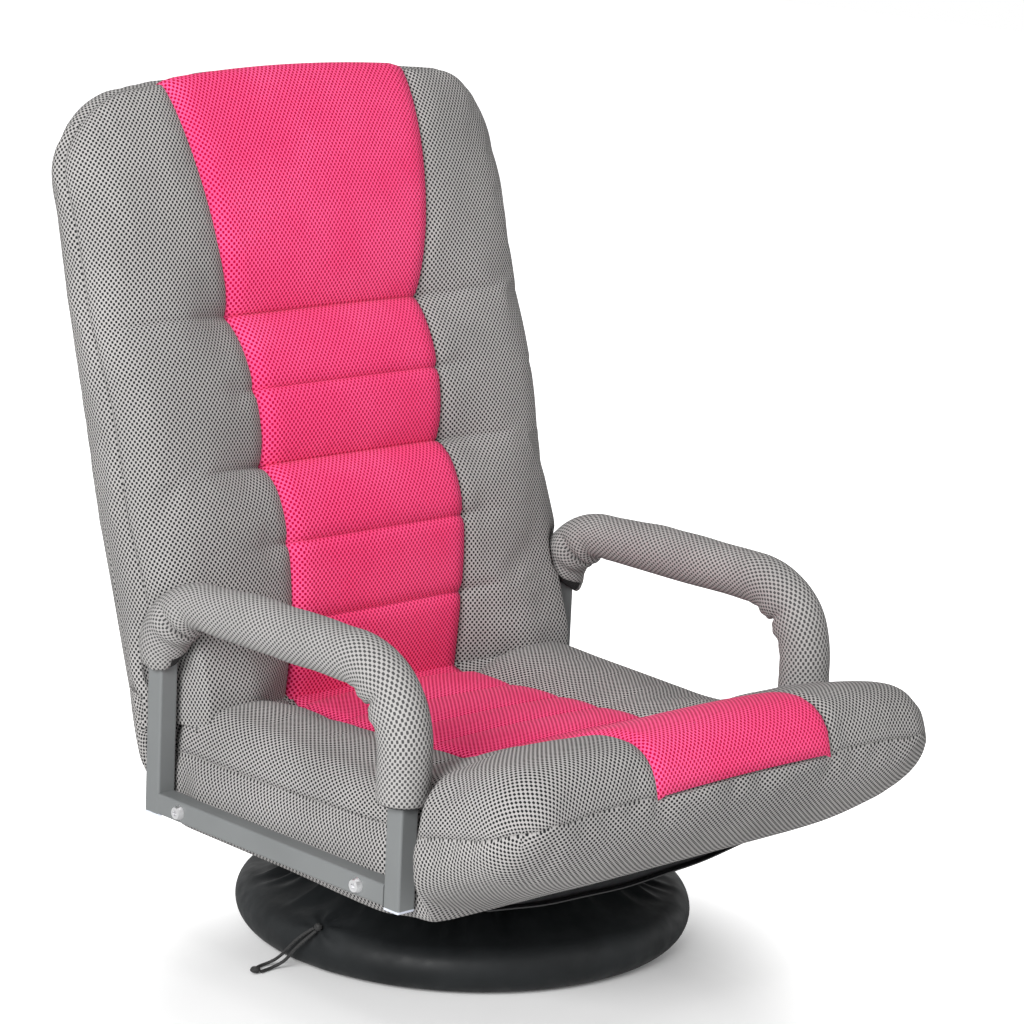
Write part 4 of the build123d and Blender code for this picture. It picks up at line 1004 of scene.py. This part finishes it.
def seatSurface(s, t, y0):
    # t is 0 underneath, 1 on top
    spec = seatSpec
    x, y, sideIn, frontIn, rearIn, sideShare = seatOutline(s, y0)
    seam = spec["strip"]
    onRoll = step01(-y, 0.17, 0.26)
    onEar = step01(-y, -spec["earAt"] - 0.005, -spec["earAt"] + 0.004)
    away = np.maximum(np.abs(x) - seam, 0)
    width = seatWidth(y) - seam
    pull = np.exp(-((away / spec["pullWidth"]) ** 1.5))
    off = np.clip(np.abs(s) / seam, 0, 1)
    strip = seatStripTop(y, off) + spec["stripCrown"] * (1 - off**2)
    crown = spec["wingCrown"] * np.sin(math.pi * np.clip(away / width, 0, 1))
    sag = onRoll * spec["rollSag"] * np.clip(away / width, 0, 1) ** 2
    top = sideTop(y) + (strip - sideTop(y)) * pull + crown - sag
    top = top - spec["seamDepth"] * np.exp(-(((np.abs(s) - seam) / 0.0045) ** 2))
    inside = np.minimum(sideIn, frontIn)
    # the top turns over its edge down to the seam of the boxing
    side = spec["sideRound"] + (spec["rollRound"] - spec["sideRound"]) * onRoll
    wide = spec["frontRound"] + (side - spec["frontRound"]) * sideShare
    drop = spec["frontRound"] + (top - seamHeight(y) - spec["frontRound"]) * sideShare
    top = top - drop / wide * roundOver(inside, wide) - roundOver(rearIn, spec["rearRound"])
    atEnds = step01(frontIn - sideIn, -0.10, 0.02)
    rollLow = [f + (e - f) * atEnds for f, e in zip(spec["rollLowFront"], spec["rollLowEnds"])]
    lowWide, lowHigh = [spec["lowRound"] + (r - spec["lowRound"]) * onEar for r in rollLow]
    under = underAt(y) + lowHigh / lowWide * roundOver(inside, lowWide) + roundOver(rearIn, spec["rearRound"])
    under = under - spec["sideBand"] * step01(np.abs(x), 0.18, 0.225) * (1 - step01(-y, 0.14, 0.19))
    top = np.maximum(top, under + 0.004)
    edge = np.clip(1 - inside / 0.0015, 0, 1)
    inOpening = step01(y, -0.172, -0.150) * (1 - step01(y, 0.105, 0.125))
    high = top - under
    swell = (spec["rollSwell"] * onRoll * high + spec["sideSwell"] * inOpening) * np.sin(math.pi * t**1.3)
    pinch = np.exp(-(((1 - t) * high / 0.006) ** 2) - (inside / 0.005) ** 2)
    pinch = spec["boxSeam"] * np.clip(high / 0.05, 0, 1) * pinch
    shift = edge * swell - pinch
    overX = np.maximum(np.abs(x) - seatWidth(y) + spec["corner"], 0)
    overY = np.maximum(spec["front"] + spec["corner"] - y, 0)
    turn = np.hypot(overX, overY) + 1e-9
    x = x + np.sign(x) * shift * overX / turn
    y = y - shift * overY / turn
    return np.stack([x, y, under + (top - under) * t], -1)


seatCreaseRows = [c[0] for c in seatSpec["creases"][1:]] + [seatSpec["earAt"]]
seatMarks = (seatSpec["strip"], *seatSpec["reachAt"])
seatMarks = (*(-mark for mark in seatMarks[::-1]), *seatMarks)
seatCuts = (
    cutLines(
        -seatSpec["halfWidth"], seatSpec["halfWidth"], clothStep, seatMarks, besideSeam, seatSpec["sideRound"]
    ),
    cutLines(
        seatSpec["front"], seatSpec["rear"], clothStep, seatCreaseRows, besideCrease, seatSpec["frontRound"]
    ),
    np.append(np.linspace(0, 0.9, 10), (0.955, 1.0)),
)
seatPad, seatIndex = gridBox("seatPad", seatCuts)
flat = points(seatPad)
shape = seatSurface(flat[:, 0], flat[:, 2], flat[:, 1])
onTop = seatIndex[:, 2] == seatIndex[:, 2].max()
off = np.abs(flat[:, 0]) - seatSpec["strip"]
shape[:, 2] -= seatSpec["sunk"] * (onTop & (off < -0.002))
setPoints(seatPad, shape)
byArms = (np.abs(shape[:, 0]) > 0.20) & (shape[:, 1] > -0.225)
held = byArms | (seatIndex[:, 2] == 0) | (shape[:, 1] > 0.09)
# the seat's edge seams, which get painted shade in their creases
shadedSeams = (seatIndex[:, 0] % seatIndex[:, 0].max() == 0) | (seatIndex[:, 1] == 0)
oneCloth = ((2, False), (1, False), (0, False), (0, True))  # underneath, front and sides
sewPad(seatPad, seatIndex, onTop, off, held, shadedSeams, 0.44, oneCloth)
dress(seatPad, greyMesh, "grey_mesh", "seat", "seat_cushion", "seat_front_roll")


def seatTop(s, y):
    return seatSurface(s, np.ones_like(s), y)


seatStrip = sewnStrip(
    "seatStrip", seatTop, seatCuts[0], seatCuts[1], seatSpec["strip"], seatCreaseRows[:-1], 0.5
)
dress(seatStrip, pinkMesh, "pink_mesh", "seat", "seat_centre_panel", "roll_centre_panel")
print("seat padded:", len(seatPad.data.polygons), "faces")

# soft gusset behind the seat
gussetSpec = {
    "rear": (
        (0.0, 0.140, 0.108), (0.15, 0.159, 0.121), (0.35, 0.170, 0.145), (0.6, 0.181, 0.175),
        (0.8, 0.189, 0.200), (1.0, 0.196, 0.228),
    ),
    "front": ((0.0, 0.112, 0.107), (0.5, 0.114, 0.150), (0.8, 0.122, 0.180), (1.0, 0.150, 0.215)),
    "half": 0.264,
    "inner": 0.222,
    "round": 0.024,
    "footIn": 0.012,
    "pucker": 0.0022,
}
rearY, rearZ, frontY, frontZ = [
    curveThrough([(p[0], p[k]) for p in gussetSpec[name]]) for name in ("rear", "front") for k in (1, 2)
]
gussetCuts = (
    cutLines(-gussetSpec["half"], gussetSpec["half"], 0.010, edge=gussetSpec["round"]),
    np.linspace(0, 1, 11),
    np.linspace(0, 1, 15),
)
gusset, gussetIndex = gridBox("rearGusset", gussetCuts)
flat = points(gusset)
h, d = flat[:, 2], flat[:, 1]
turned = roundOver(gussetSpec["half"] - np.abs(flat[:, 0]), gussetSpec["round"])
y = frontY(h) + (rearY(h) - turned - frontY(h)) * d
z = frontZ(h) + (rearZ(h) - frontZ(h)) * d
foot = gussetSpec["footIn"] * (1 - step01(h, 0.0, 0.5))
wide = gussetSpec["inner"] + (gussetSpec["half"] - foot - gussetSpec["inner"]) * step01(y, 0.1555, 0.163)
x = flat[:, 0] * wide / gussetSpec["half"]
puckers = gussetSpec["pucker"] * np.sin(x * 95) * np.sin(math.pi * h) * step01(d, 0.5, 1.0)
setPoints(gusset, np.stack([x, y + puckers, z], -1))
sewCover(gusset, gussetIndex)
dress(gusset, greyMesh, "grey_mesh", None, "rear_gusset")
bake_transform(gusset)

# soft cover across the crease between seat and back
creaseSpec = {
    "half": 0.234,
    "stripHalf": 0.1095,
    "seatHalf": 0.236,
    "up": 0.004,
    "in": 0.002,
    "seatAt": 0.100,
    "steps": 13,
    "thick": 0.0018,
    "stripLift": 0.0022,
    "sink": 0.0015,
    "dip": 0.16,  # share of the gap's width
}


def creasePatch(name, half, lift, finish, slotName):
    # from the seat's top, down into the crease and up under the foot of the back
    columns = cutLines(-half, half, clothStep)
    footRow = np.full_like(columns, backSpec["foot"] + creaseSpec["up"])
    u, v, w = backSurface(columns, np.zeros_like(columns), footRow)
    upper = backPlace(u, v, w + creaseSpec["in"])
    seatRow = np.full_like(columns, creaseSpec["seatAt"])
    lower = seatTop(np.clip(columns, -creaseSpec["seatHalf"], creaseSpec["seatHalf"]), seatRow)
    lower[:, 2] -= creaseSpec["sink"]
    t = np.linspace(0, 1, creaseSpec["steps"])[None, :, None]
    valley = lower[:, None] * (1 - t) + upper[:, None] * t
    depth = np.clip(np.linalg.norm(upper - lower, axis=1), 0, 0.03)[:, None] * creaseSpec["dip"]
    valley[..., 2] -= depth * np.sin(math.pi * t[..., 0]) - lift
    patch = gridPanel(name, valley, creaseSpec["thick"])
    smooth(patch)
    dress(patch, finish, slotName, None)
    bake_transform(patch)


creasePatch("creaseCover", creaseSpec["half"], 0.0, greyMesh, "grey_mesh")
creasePatch("creaseStrip", creaseSpec["stripHalf"], creaseSpec["stripLift"], pinkMesh, "pink_mesh")

# arm sleeves
sleeveSpec = {
    "around": 64,
    "rings": 300,
    "below": 0.014,  # room under the rear end for its slanted cut
    "rearUp": 0.0040,
    "slantOut": 0.0100,  # lower on the outside
    "slantRear": 0.0060,  # higher at the rear
    "rearClose": 0.022,
    "frontClose": 0.008,
    "thick": 0.0014,
    "crease": 0.0100,
    "ruck": 0.0012,
    "elbow": 0.0025,  # fuller outside the front bend
    "mouth": 0.0008,
    "lump": 0.0010,
    "lower": 0.0050,  # the top is pulled down at the rear
}


def armLine():
    # places along the arm's middle line from the sleeve's rear end to its front end
    a = armSpec
    line = []
    for z in np.linspace(a["rearEnd"] - sleeveSpec["below"], a["top"] - a["rearBend"], 5)[:-1]:
        line.append((a["rear"], z))
    for turn in np.linspace(0, math.pi / 2, 25):
        r = a["rearBend"]
        line.append((a["rear"] - r + r * math.cos(turn), a["top"] - r + r * math.sin(turn)))
    for y in np.linspace(a["rear"] - a["rearBend"], a["front"] + a["frontBend"], 40)[1:-1]:
        line.append((y, a["top"]))
    for turn in np.linspace(0, math.pi / 2, 25):
        r = a["frontBend"]
        line.append((a["front"] + r - r * math.sin(turn), a["top"] - r + r * math.cos(turn)))
    for z in np.linspace(a["top"] - a["frontBend"], a["frontEnd"], 10)[1:]:
        line.append((a["front"], z))
    return np.array(line)


armMiddle = armLine()
armRun = runAlong(armMiddle)
armLength = armRun[-1]


def armSleeve(name, side, *replaced):
    spec = sleeveSpec
    obj = openTube(name, spec["around"], spec["rings"])
    co = points(obj)
    turn = np.arctan2(co[:, 1], co[:, 0])
    share = np.clip(co[:, 2] + 0.5, 0, 1)
    slant = spec["slantRear"] * np.sin(turn) - spec["slantOut"] * side * np.cos(turn)
    start = spec["below"] + spec["rearUp"] + slant
    run = start * (1 - step01(share, 0.0, 0.12)) + share * armLength
    run = np.clip(run, 0, armLength)
    behind, middle, ahead = [
        np.stack([np.interp(run + step, armRun, line) for line in armMiddle.T]) for step in (-0.002, 0, 0.002)
    ]
    stepY, stepZ = (ahead - behind) / np.hypot(*(ahead - behind))
    outY, outZ = stepZ, -stepY  # towards the outside of the bends
    radius = armSpec["radius"] - 0.34 * roundOver(run - start, spec["rearClose"])
    radius = radius - 0.4 * roundOver(armLength - run, spec["frontClose"])
    inner = np.clip(-np.sin(turn), 0, 1)  # inside of the bends
    outer = np.clip(np.sin(turn), 0, 1)
    creased = np.clip((0.45 - np.sin(turn)) / 1.45, 0, 1) ** 0.8
    rearBendAt = armRun[4] + armSpec["rearBend"] * math.pi / 4
    frontPost = armSpec["top"] - armSpec["frontBend"] - armSpec["frontEnd"]
    frontBendAt = armLength - frontPost - armSpec["frontBend"] * math.pi / 4
    for bend, depth in ((rearBendAt + 0.004, 1.0), (frontBendAt - 0.004, 0.6)):
        away = run - bend + 0.006 * np.cos(turn)
        crease = np.exp(-((away / 0.0034) ** 2)) - 0.42 * np.exp(-(((np.abs(away) - 0.013) / 0.0085) ** 2))
        radius = radius - depth * spec["crease"] * crease * creased
        rucks = inner * np.exp(-((away / 0.035) ** 2)) * np.sin(away * 330 + 2.0 * np.cos(turn))
        radius = radius - spec["ruck"] * rucks
    radius = radius + spec["elbow"] * outer * np.exp(-(((run - frontBendAt) / 0.035) ** 2))
    radius = radius + spec["mouth"] * np.sin(turn * 11 + 0.5) * np.exp(-(run - start) / 0.010)
    lumps = np.stack([co[:, 0] * armSpec["radius"] + side, co[:, 1] * armSpec["radius"], run], 1)
    radius = radius + ripple(lumps, 26.0, spec["lump"])
    place = np.stack([
        side * armSpec["x"] + radius * np.cos(turn),
        middle[0] + outY * radius * np.sin(turn),
        middle[1] + outZ * radius * np.sin(turn),
    ], -1)
    place[:, 2] -= spec["lower"] * step01(middle[0], 0.0, 0.09) * np.clip(outZ * np.sin(turn), 0, 1)
    setPoints(obj, place)
    # painted shadow in the gap under the rim of the sleeve's front end
    mouthShadow = 0.9 * np.exp(-(((armLength - run) / 0.0022) ** 2))
    tape = (run - start < 0.010) & (np.abs(turn + math.pi / 2 + side * 0.30) < 0.60)
    paintShadeAndTape(obj, np.maximum(mouthShadow, tape))
    faces = quads(obj)
    faceTurn = turn[faces]
    faceTurn = np.where(faceTurn - faceTurn.min(1, keepdims=True) > math.pi, faceTurn - 2 * math.pi, faceTurn)
    girth = round(2 * math.pi * armSpec["radius"] / spacerMesh["pitch"]) * spacerMesh["pitch"]
    uv = np.stack([faceTurn / (2 * math.pi) * girth, run[faces]], -1)
    layer = obj.data.uv_layers.new(name="cloth")
    layer.data.foreach_set("uv", uv.ravel().astype(np.float32))
    faceOut(obj)
    applyModifier(obj, "SOLIDIFY", thickness=spec["thick"], offset=-1.0)
    smooth(obj)
    dress(obj, sleeveMesh, "grey_mesh", "seat", *replaced)


armSleeve("leftArmSleeve", -1, "left_arm_sleeve", "left_arm_foam")
armSleeve("rightArmSleeve", 1, "right_arm_sleeve", "right_arm_foam")
print("sleeves sewn")

# cover of the foot
coverSpec = {
    "profile": (
        (0.1115, 0.0975), (0.120, 0.0905), (0.132, 0.079), (0.150, 0.0645), (0.170, 0.0535),
        (0.192, 0.0462), (0.2035, 0.0428), (0.2115, 0.0352), (0.2150, 0.0230), (0.2115, 0.0108),
        (0.2035, 0.0032), (0.192, 0.0006), (0.150, 0.0006), (0.080, 0.0006), (0.020, 0.0006),
    ),
    "around": 360,
    "rings": 64,
    "thick": 0.0013,
    "pleats": 25,
    "gather": 0.0056,
    "broad": 0.0016,
    "knot": (-0.2105, -0.030),
    "pucker": 0.0024,  # round the drawstring's knot
}
footCover = openTube("footCover", coverSpec["around"], coverSpec["rings"], keepMap=True)
co = points(footCover)
turn = np.arctan2(co[:, 1], co[:, 0])
ringRun = np.array(coverSpec["profile"])
ringAt = runAlong(ringRun)
shareAt = np.interp(np.clip(0.5 - co[:, 2], 0, 1), (0, 0.42, 0.80, 1.0), ringAt[[0, 5, 11, -1]])
radiusAt = curveThrough(list(zip(ringAt, ringRun[:, 0])))
heightAt = curveThrough(list(zip(ringAt, ringRun[:, 1])))
radius, height = radiusAt(shareAt), heightAt(shareAt)
wave = turn + 0.10 * np.sin(3 * turn + 0.6) + 0.05 * np.sin(7 * turn)
pleat = 1 - np.abs(np.sin(coverSpec["pleats"] * wave)) ** 0.7
gather = 1.5 * pleat * (0.6 + 0.4 * np.sin(5 * turn + 1.0)) - 0.4 + 0.45 * np.sin(17 * wave + 2.0)
spread = 0.5 + 0.5 * np.sin(9 * turn + 4 * np.sin(2 * turn))
reach = 1 - step01(shareAt, 0.030 + 0.030 * spread, ringAt[5] + (ringAt[7] - ringAt[5]) * spread)
reach = reach * (0.3 + 0.7 * step01(shareAt, 0.0, 0.022))
slope = step01(shareAt, 0.01, 0.06) * (1 - step01(shareAt, ringAt[5], ringAt[8]))
broad = coverSpec["broad"] * np.sin(6 * turn + 1.3 * np.sin(2 * turn)) * slope
knotTurn = math.atan2(coverSpec["knot"][1], coverSpec["knot"][0])
knotOff = 0.2 * ((turn - knotTurn + math.pi) % (2 * math.pi) - math.pi)
knotUp = shareAt - ringAt[6]
fromKnot = np.hypot(knotOff, knotUp)
star = np.cos(7 * np.arctan2(knotUp, knotOff)) * np.exp(-fromKnot / 0.020) * step01(fromKnot, 0.0, 0.008)
lift = coverSpec["gather"] * gather * reach + broad + coverSpec["pucker"] * star
radius = radius + 0.35 * lift
height = np.maximum(height + 0.9 * lift, 0.0004)
setPoints(footCover, np.stack([radius * np.cos(turn), radius * np.sin(turn), height], -1))
faceOut(footCover)
applyModifier(footCover, "SOLIDIFY", thickness=coverSpec["thick"], offset=-1.0)
smooth(footCover)
dress(footCover, blackCover, "black_cloth", "base", "base_cover", "base_bottom_panel", "base_rim_foam")
print("foot covered")

# black cloth under the seat
underSpec = {
    "half": 0.198, "rear": 0.112, "front": -0.211, "sag": 0.0180, "crumple": 0.0012, "thick": 0.0012,
    "swivel": (0.124, 0.170),  # taut over the swivel's plate, slack outside this
    "zipAt": -0.201, "zipHalf": 0.165,
}


def underLining(x, y):
    across = np.abs(x) / underSpec["half"]
    along = (y - underSpec["front"]) / (underSpec["rear"] - underSpec["front"])
    edge = np.clip(np.minimum(along / 0.05, (1 - along) / 0.12), 0, 1)
    slack = step01(np.hypot(x, y), *underSpec["swivel"])
    hang = underSpec["sag"] * (1 - np.clip(across / 0.9, 0, 1) ** 2) * np.sqrt(edge) * slack
    crumple = underSpec["crumple"] * np.sin(x * 62 + 2 * np.sin(y * 40)) * np.sin(y * 55 + 1.0) * edge
    return underAt(y) + 0.001 - hang + crumple


underAcross, underAlong = np.meshgrid(np.linspace(-1, 1, 61), np.linspace(0, 1, 49), indexing="ij")
underX = underAcross * underSpec["half"]
underY = underSpec["front"] + (underSpec["rear"] - underSpec["front"]) * underAlong**1.3
underPlaces = np.stack([underX, underY, underLining(underX, underY)], -1)
seatLining = gridPanel("seatUnderLining", underPlaces[::-1], underSpec["thick"])
smooth(seatLining)
dress(seatLining, blackLining, "black_cloth", "seat", "seat_bottom_panel")

zipSpec = {"half": 0.006, "thick": 0.0012, "pitch": 0.0045, "end": 0.004, "up": 0.0016, "stagger": 0.0007}


def zipFastener(name, line, side, out, body, node):
    # tape along a line, with a row of small teeth standing on it
    line, side, out = (np.array(v, float) for v in (line, side, out))
    across = np.linspace(-zipSpec["half"], zipSpec["half"], 5)
    tape = line[:, None, :] + across[None, :, None] * side + out * zipSpec["thick"]
    obj = gridPanel(name, tape, zipSpec["thick"])
    run = runAlong(line)
    teeth = []
    for k, place in enumerate(np.arange(zipSpec["end"], run[-1] - zipSpec["end"], zipSpec["pitch"])):
        at = np.array([np.interp(place, run, line[:, c]) for c in range(3)])
        at = at + out * zipSpec["up"] + side * zipSpec["stagger"] * (1 if k % 2 else -1)
        deselect()
        bpy.ops.mesh.primitive_cube_add(size=1, location=at)
        tooth = bpy.context.object
        tooth.scale = [0.0011 + 0.0022 * abs(v) for v in side]
        teeth.append(tooth)
    pick(obj)
    for tooth in teeth:
        tooth.select_set(True)
    bpy.ops.object.transform_apply(location=True, rotation=True, scale=True)
    bpy.ops.object.join()
    return dress(obj, zipTape, "zip", body, node)


zipX = np.linspace(-underSpec["zipHalf"], underSpec["zipHalf"], 45)
zipY = np.full_like(zipX, underSpec["zipAt"])
zipUp = np.linspace(0.118, 0.452, 45)
zipAlong = (zipUp - liningSpec["foot"]) / (liningSpec["top"] - liningSpec["foot"])
zipIn = liningDepth(np.zeros_like(zipUp), zipAlong, zipUp)
backZip = zipFastener(
    "backZip", backPlace(np.zeros_like(zipUp), zipUp, zipIn), (1, 0, 0),
    (0, cosLean, -sinLean), "backrest", "back_zipper",
)
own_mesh(backZip)
zipPlaces = np.stack([zipX, zipY, underLining(zipX, zipY) - 0.001], -1)
zipFastener("seatZip", zipPlaces[::-1], (0, 1, 0), (0, 0, -1), "seat", "seat_zipper")
print("underside lined")

# floor and light
studio = {
    "key": {"place": (-4.5, -2.0, 2.6), "size": 2.4, "power": 400.0},
    "fill": {"place": (1.4, -4.4, 2.2), "size": 3.0, "power": 50.0},
    "top": {"place": (0.0, -0.4, 4.6), "size": 3.2, "power": 60.0},
}
lampAim = Vector((0, 0, 0.35))
for name, lamp in studio.items():
    data = bpy.data.lights.new(name, "AREA")
    data.shape = "SQUARE"
    data.size = lamp["size"]
    data.energy = lamp["power"]
    light = bpy.data.objects.new(name, data)
    scene.collection.objects.link(light)
    light.location = lamp["place"]
    light.rotation_euler = (lampAim - Vector(lamp["place"])).to_track_quat("-Z", "Y").to_euler()

floorSpec = {
    "size": 16.0,
    "drop": 0.0005,
    "middle": (-0.19, -0.21, 0.0),
    "near": 0.24,
    "far": 0.52,
    "nearGlow": 0.06,
    "farGlow": 1.0,
}
skySpec = {"light": 0.22, "seen": 1.0}
deselect()
bpy.ops.mesh.primitive_plane_add(size=floorSpec["size"], location=(0, 0, -floorSpec["drop"]))
floor = bpy.context.object
floor.name = "floor"
pale = Finish("paleFloor", {"Base Color": (0.82, 0.82, 0.82), "Roughness": 0.6, "Specular IOR Level": 0.2})
# the camera sees the floor turn white away from the foot, so that only the soft shadow near it is left
where = pale.node("TexCoord", out="Object")
away = pale.node("VectorMath", {0: where, 1: floorSpec["middle"]}, {"operation": "DISTANCE"}, "Value")
clear = pale.fade(away, floorSpec["near"], floorSpec["far"], floorSpec["nearGlow"], floorSpec["farGlow"])
lit = Link(pale, pale.shader.outputs[0])
glowing = pale.node("AddShader", {0: lit, 1: pale.node("Emission", {"Color": clear, "Strength": 1.0})})
shown = pale.node("MixShader", {0: pale.node("LightPath", out="Is Camera Ray"), 1: lit, 2: glowing})
pale.feed(pale.tree.nodes["Material Output"], {"Surface": shown})
floor.data.materials.append(pale.material)

# soft white light all round, and a plain white background for what is seen directly or mirrored
scene.world = bpy.data.worlds.new("studio")
sky = Nodes(scene.world)
soft, white = [
    sky.node("Background", {"Color": (1.0, 1.0, 1.0), "Strength": strength})
    for strength in (skySpec["light"], skySpec["seen"])
]
rays = [sky.node("LightPath", out=f"Is {kind} Ray") for kind in ("Camera", "Glossy", "Transmission")]
anyRay = sky.maths("MAXIMUM", sky.maths("MAXIMUM", rays[0], rays[1]), rays[2])
sky.feed(sky.tree.nodes["World Output"], {"Surface": sky.node("MixShader", {0: anyRay, 1: soft, 2: white})})

print("scene ready")
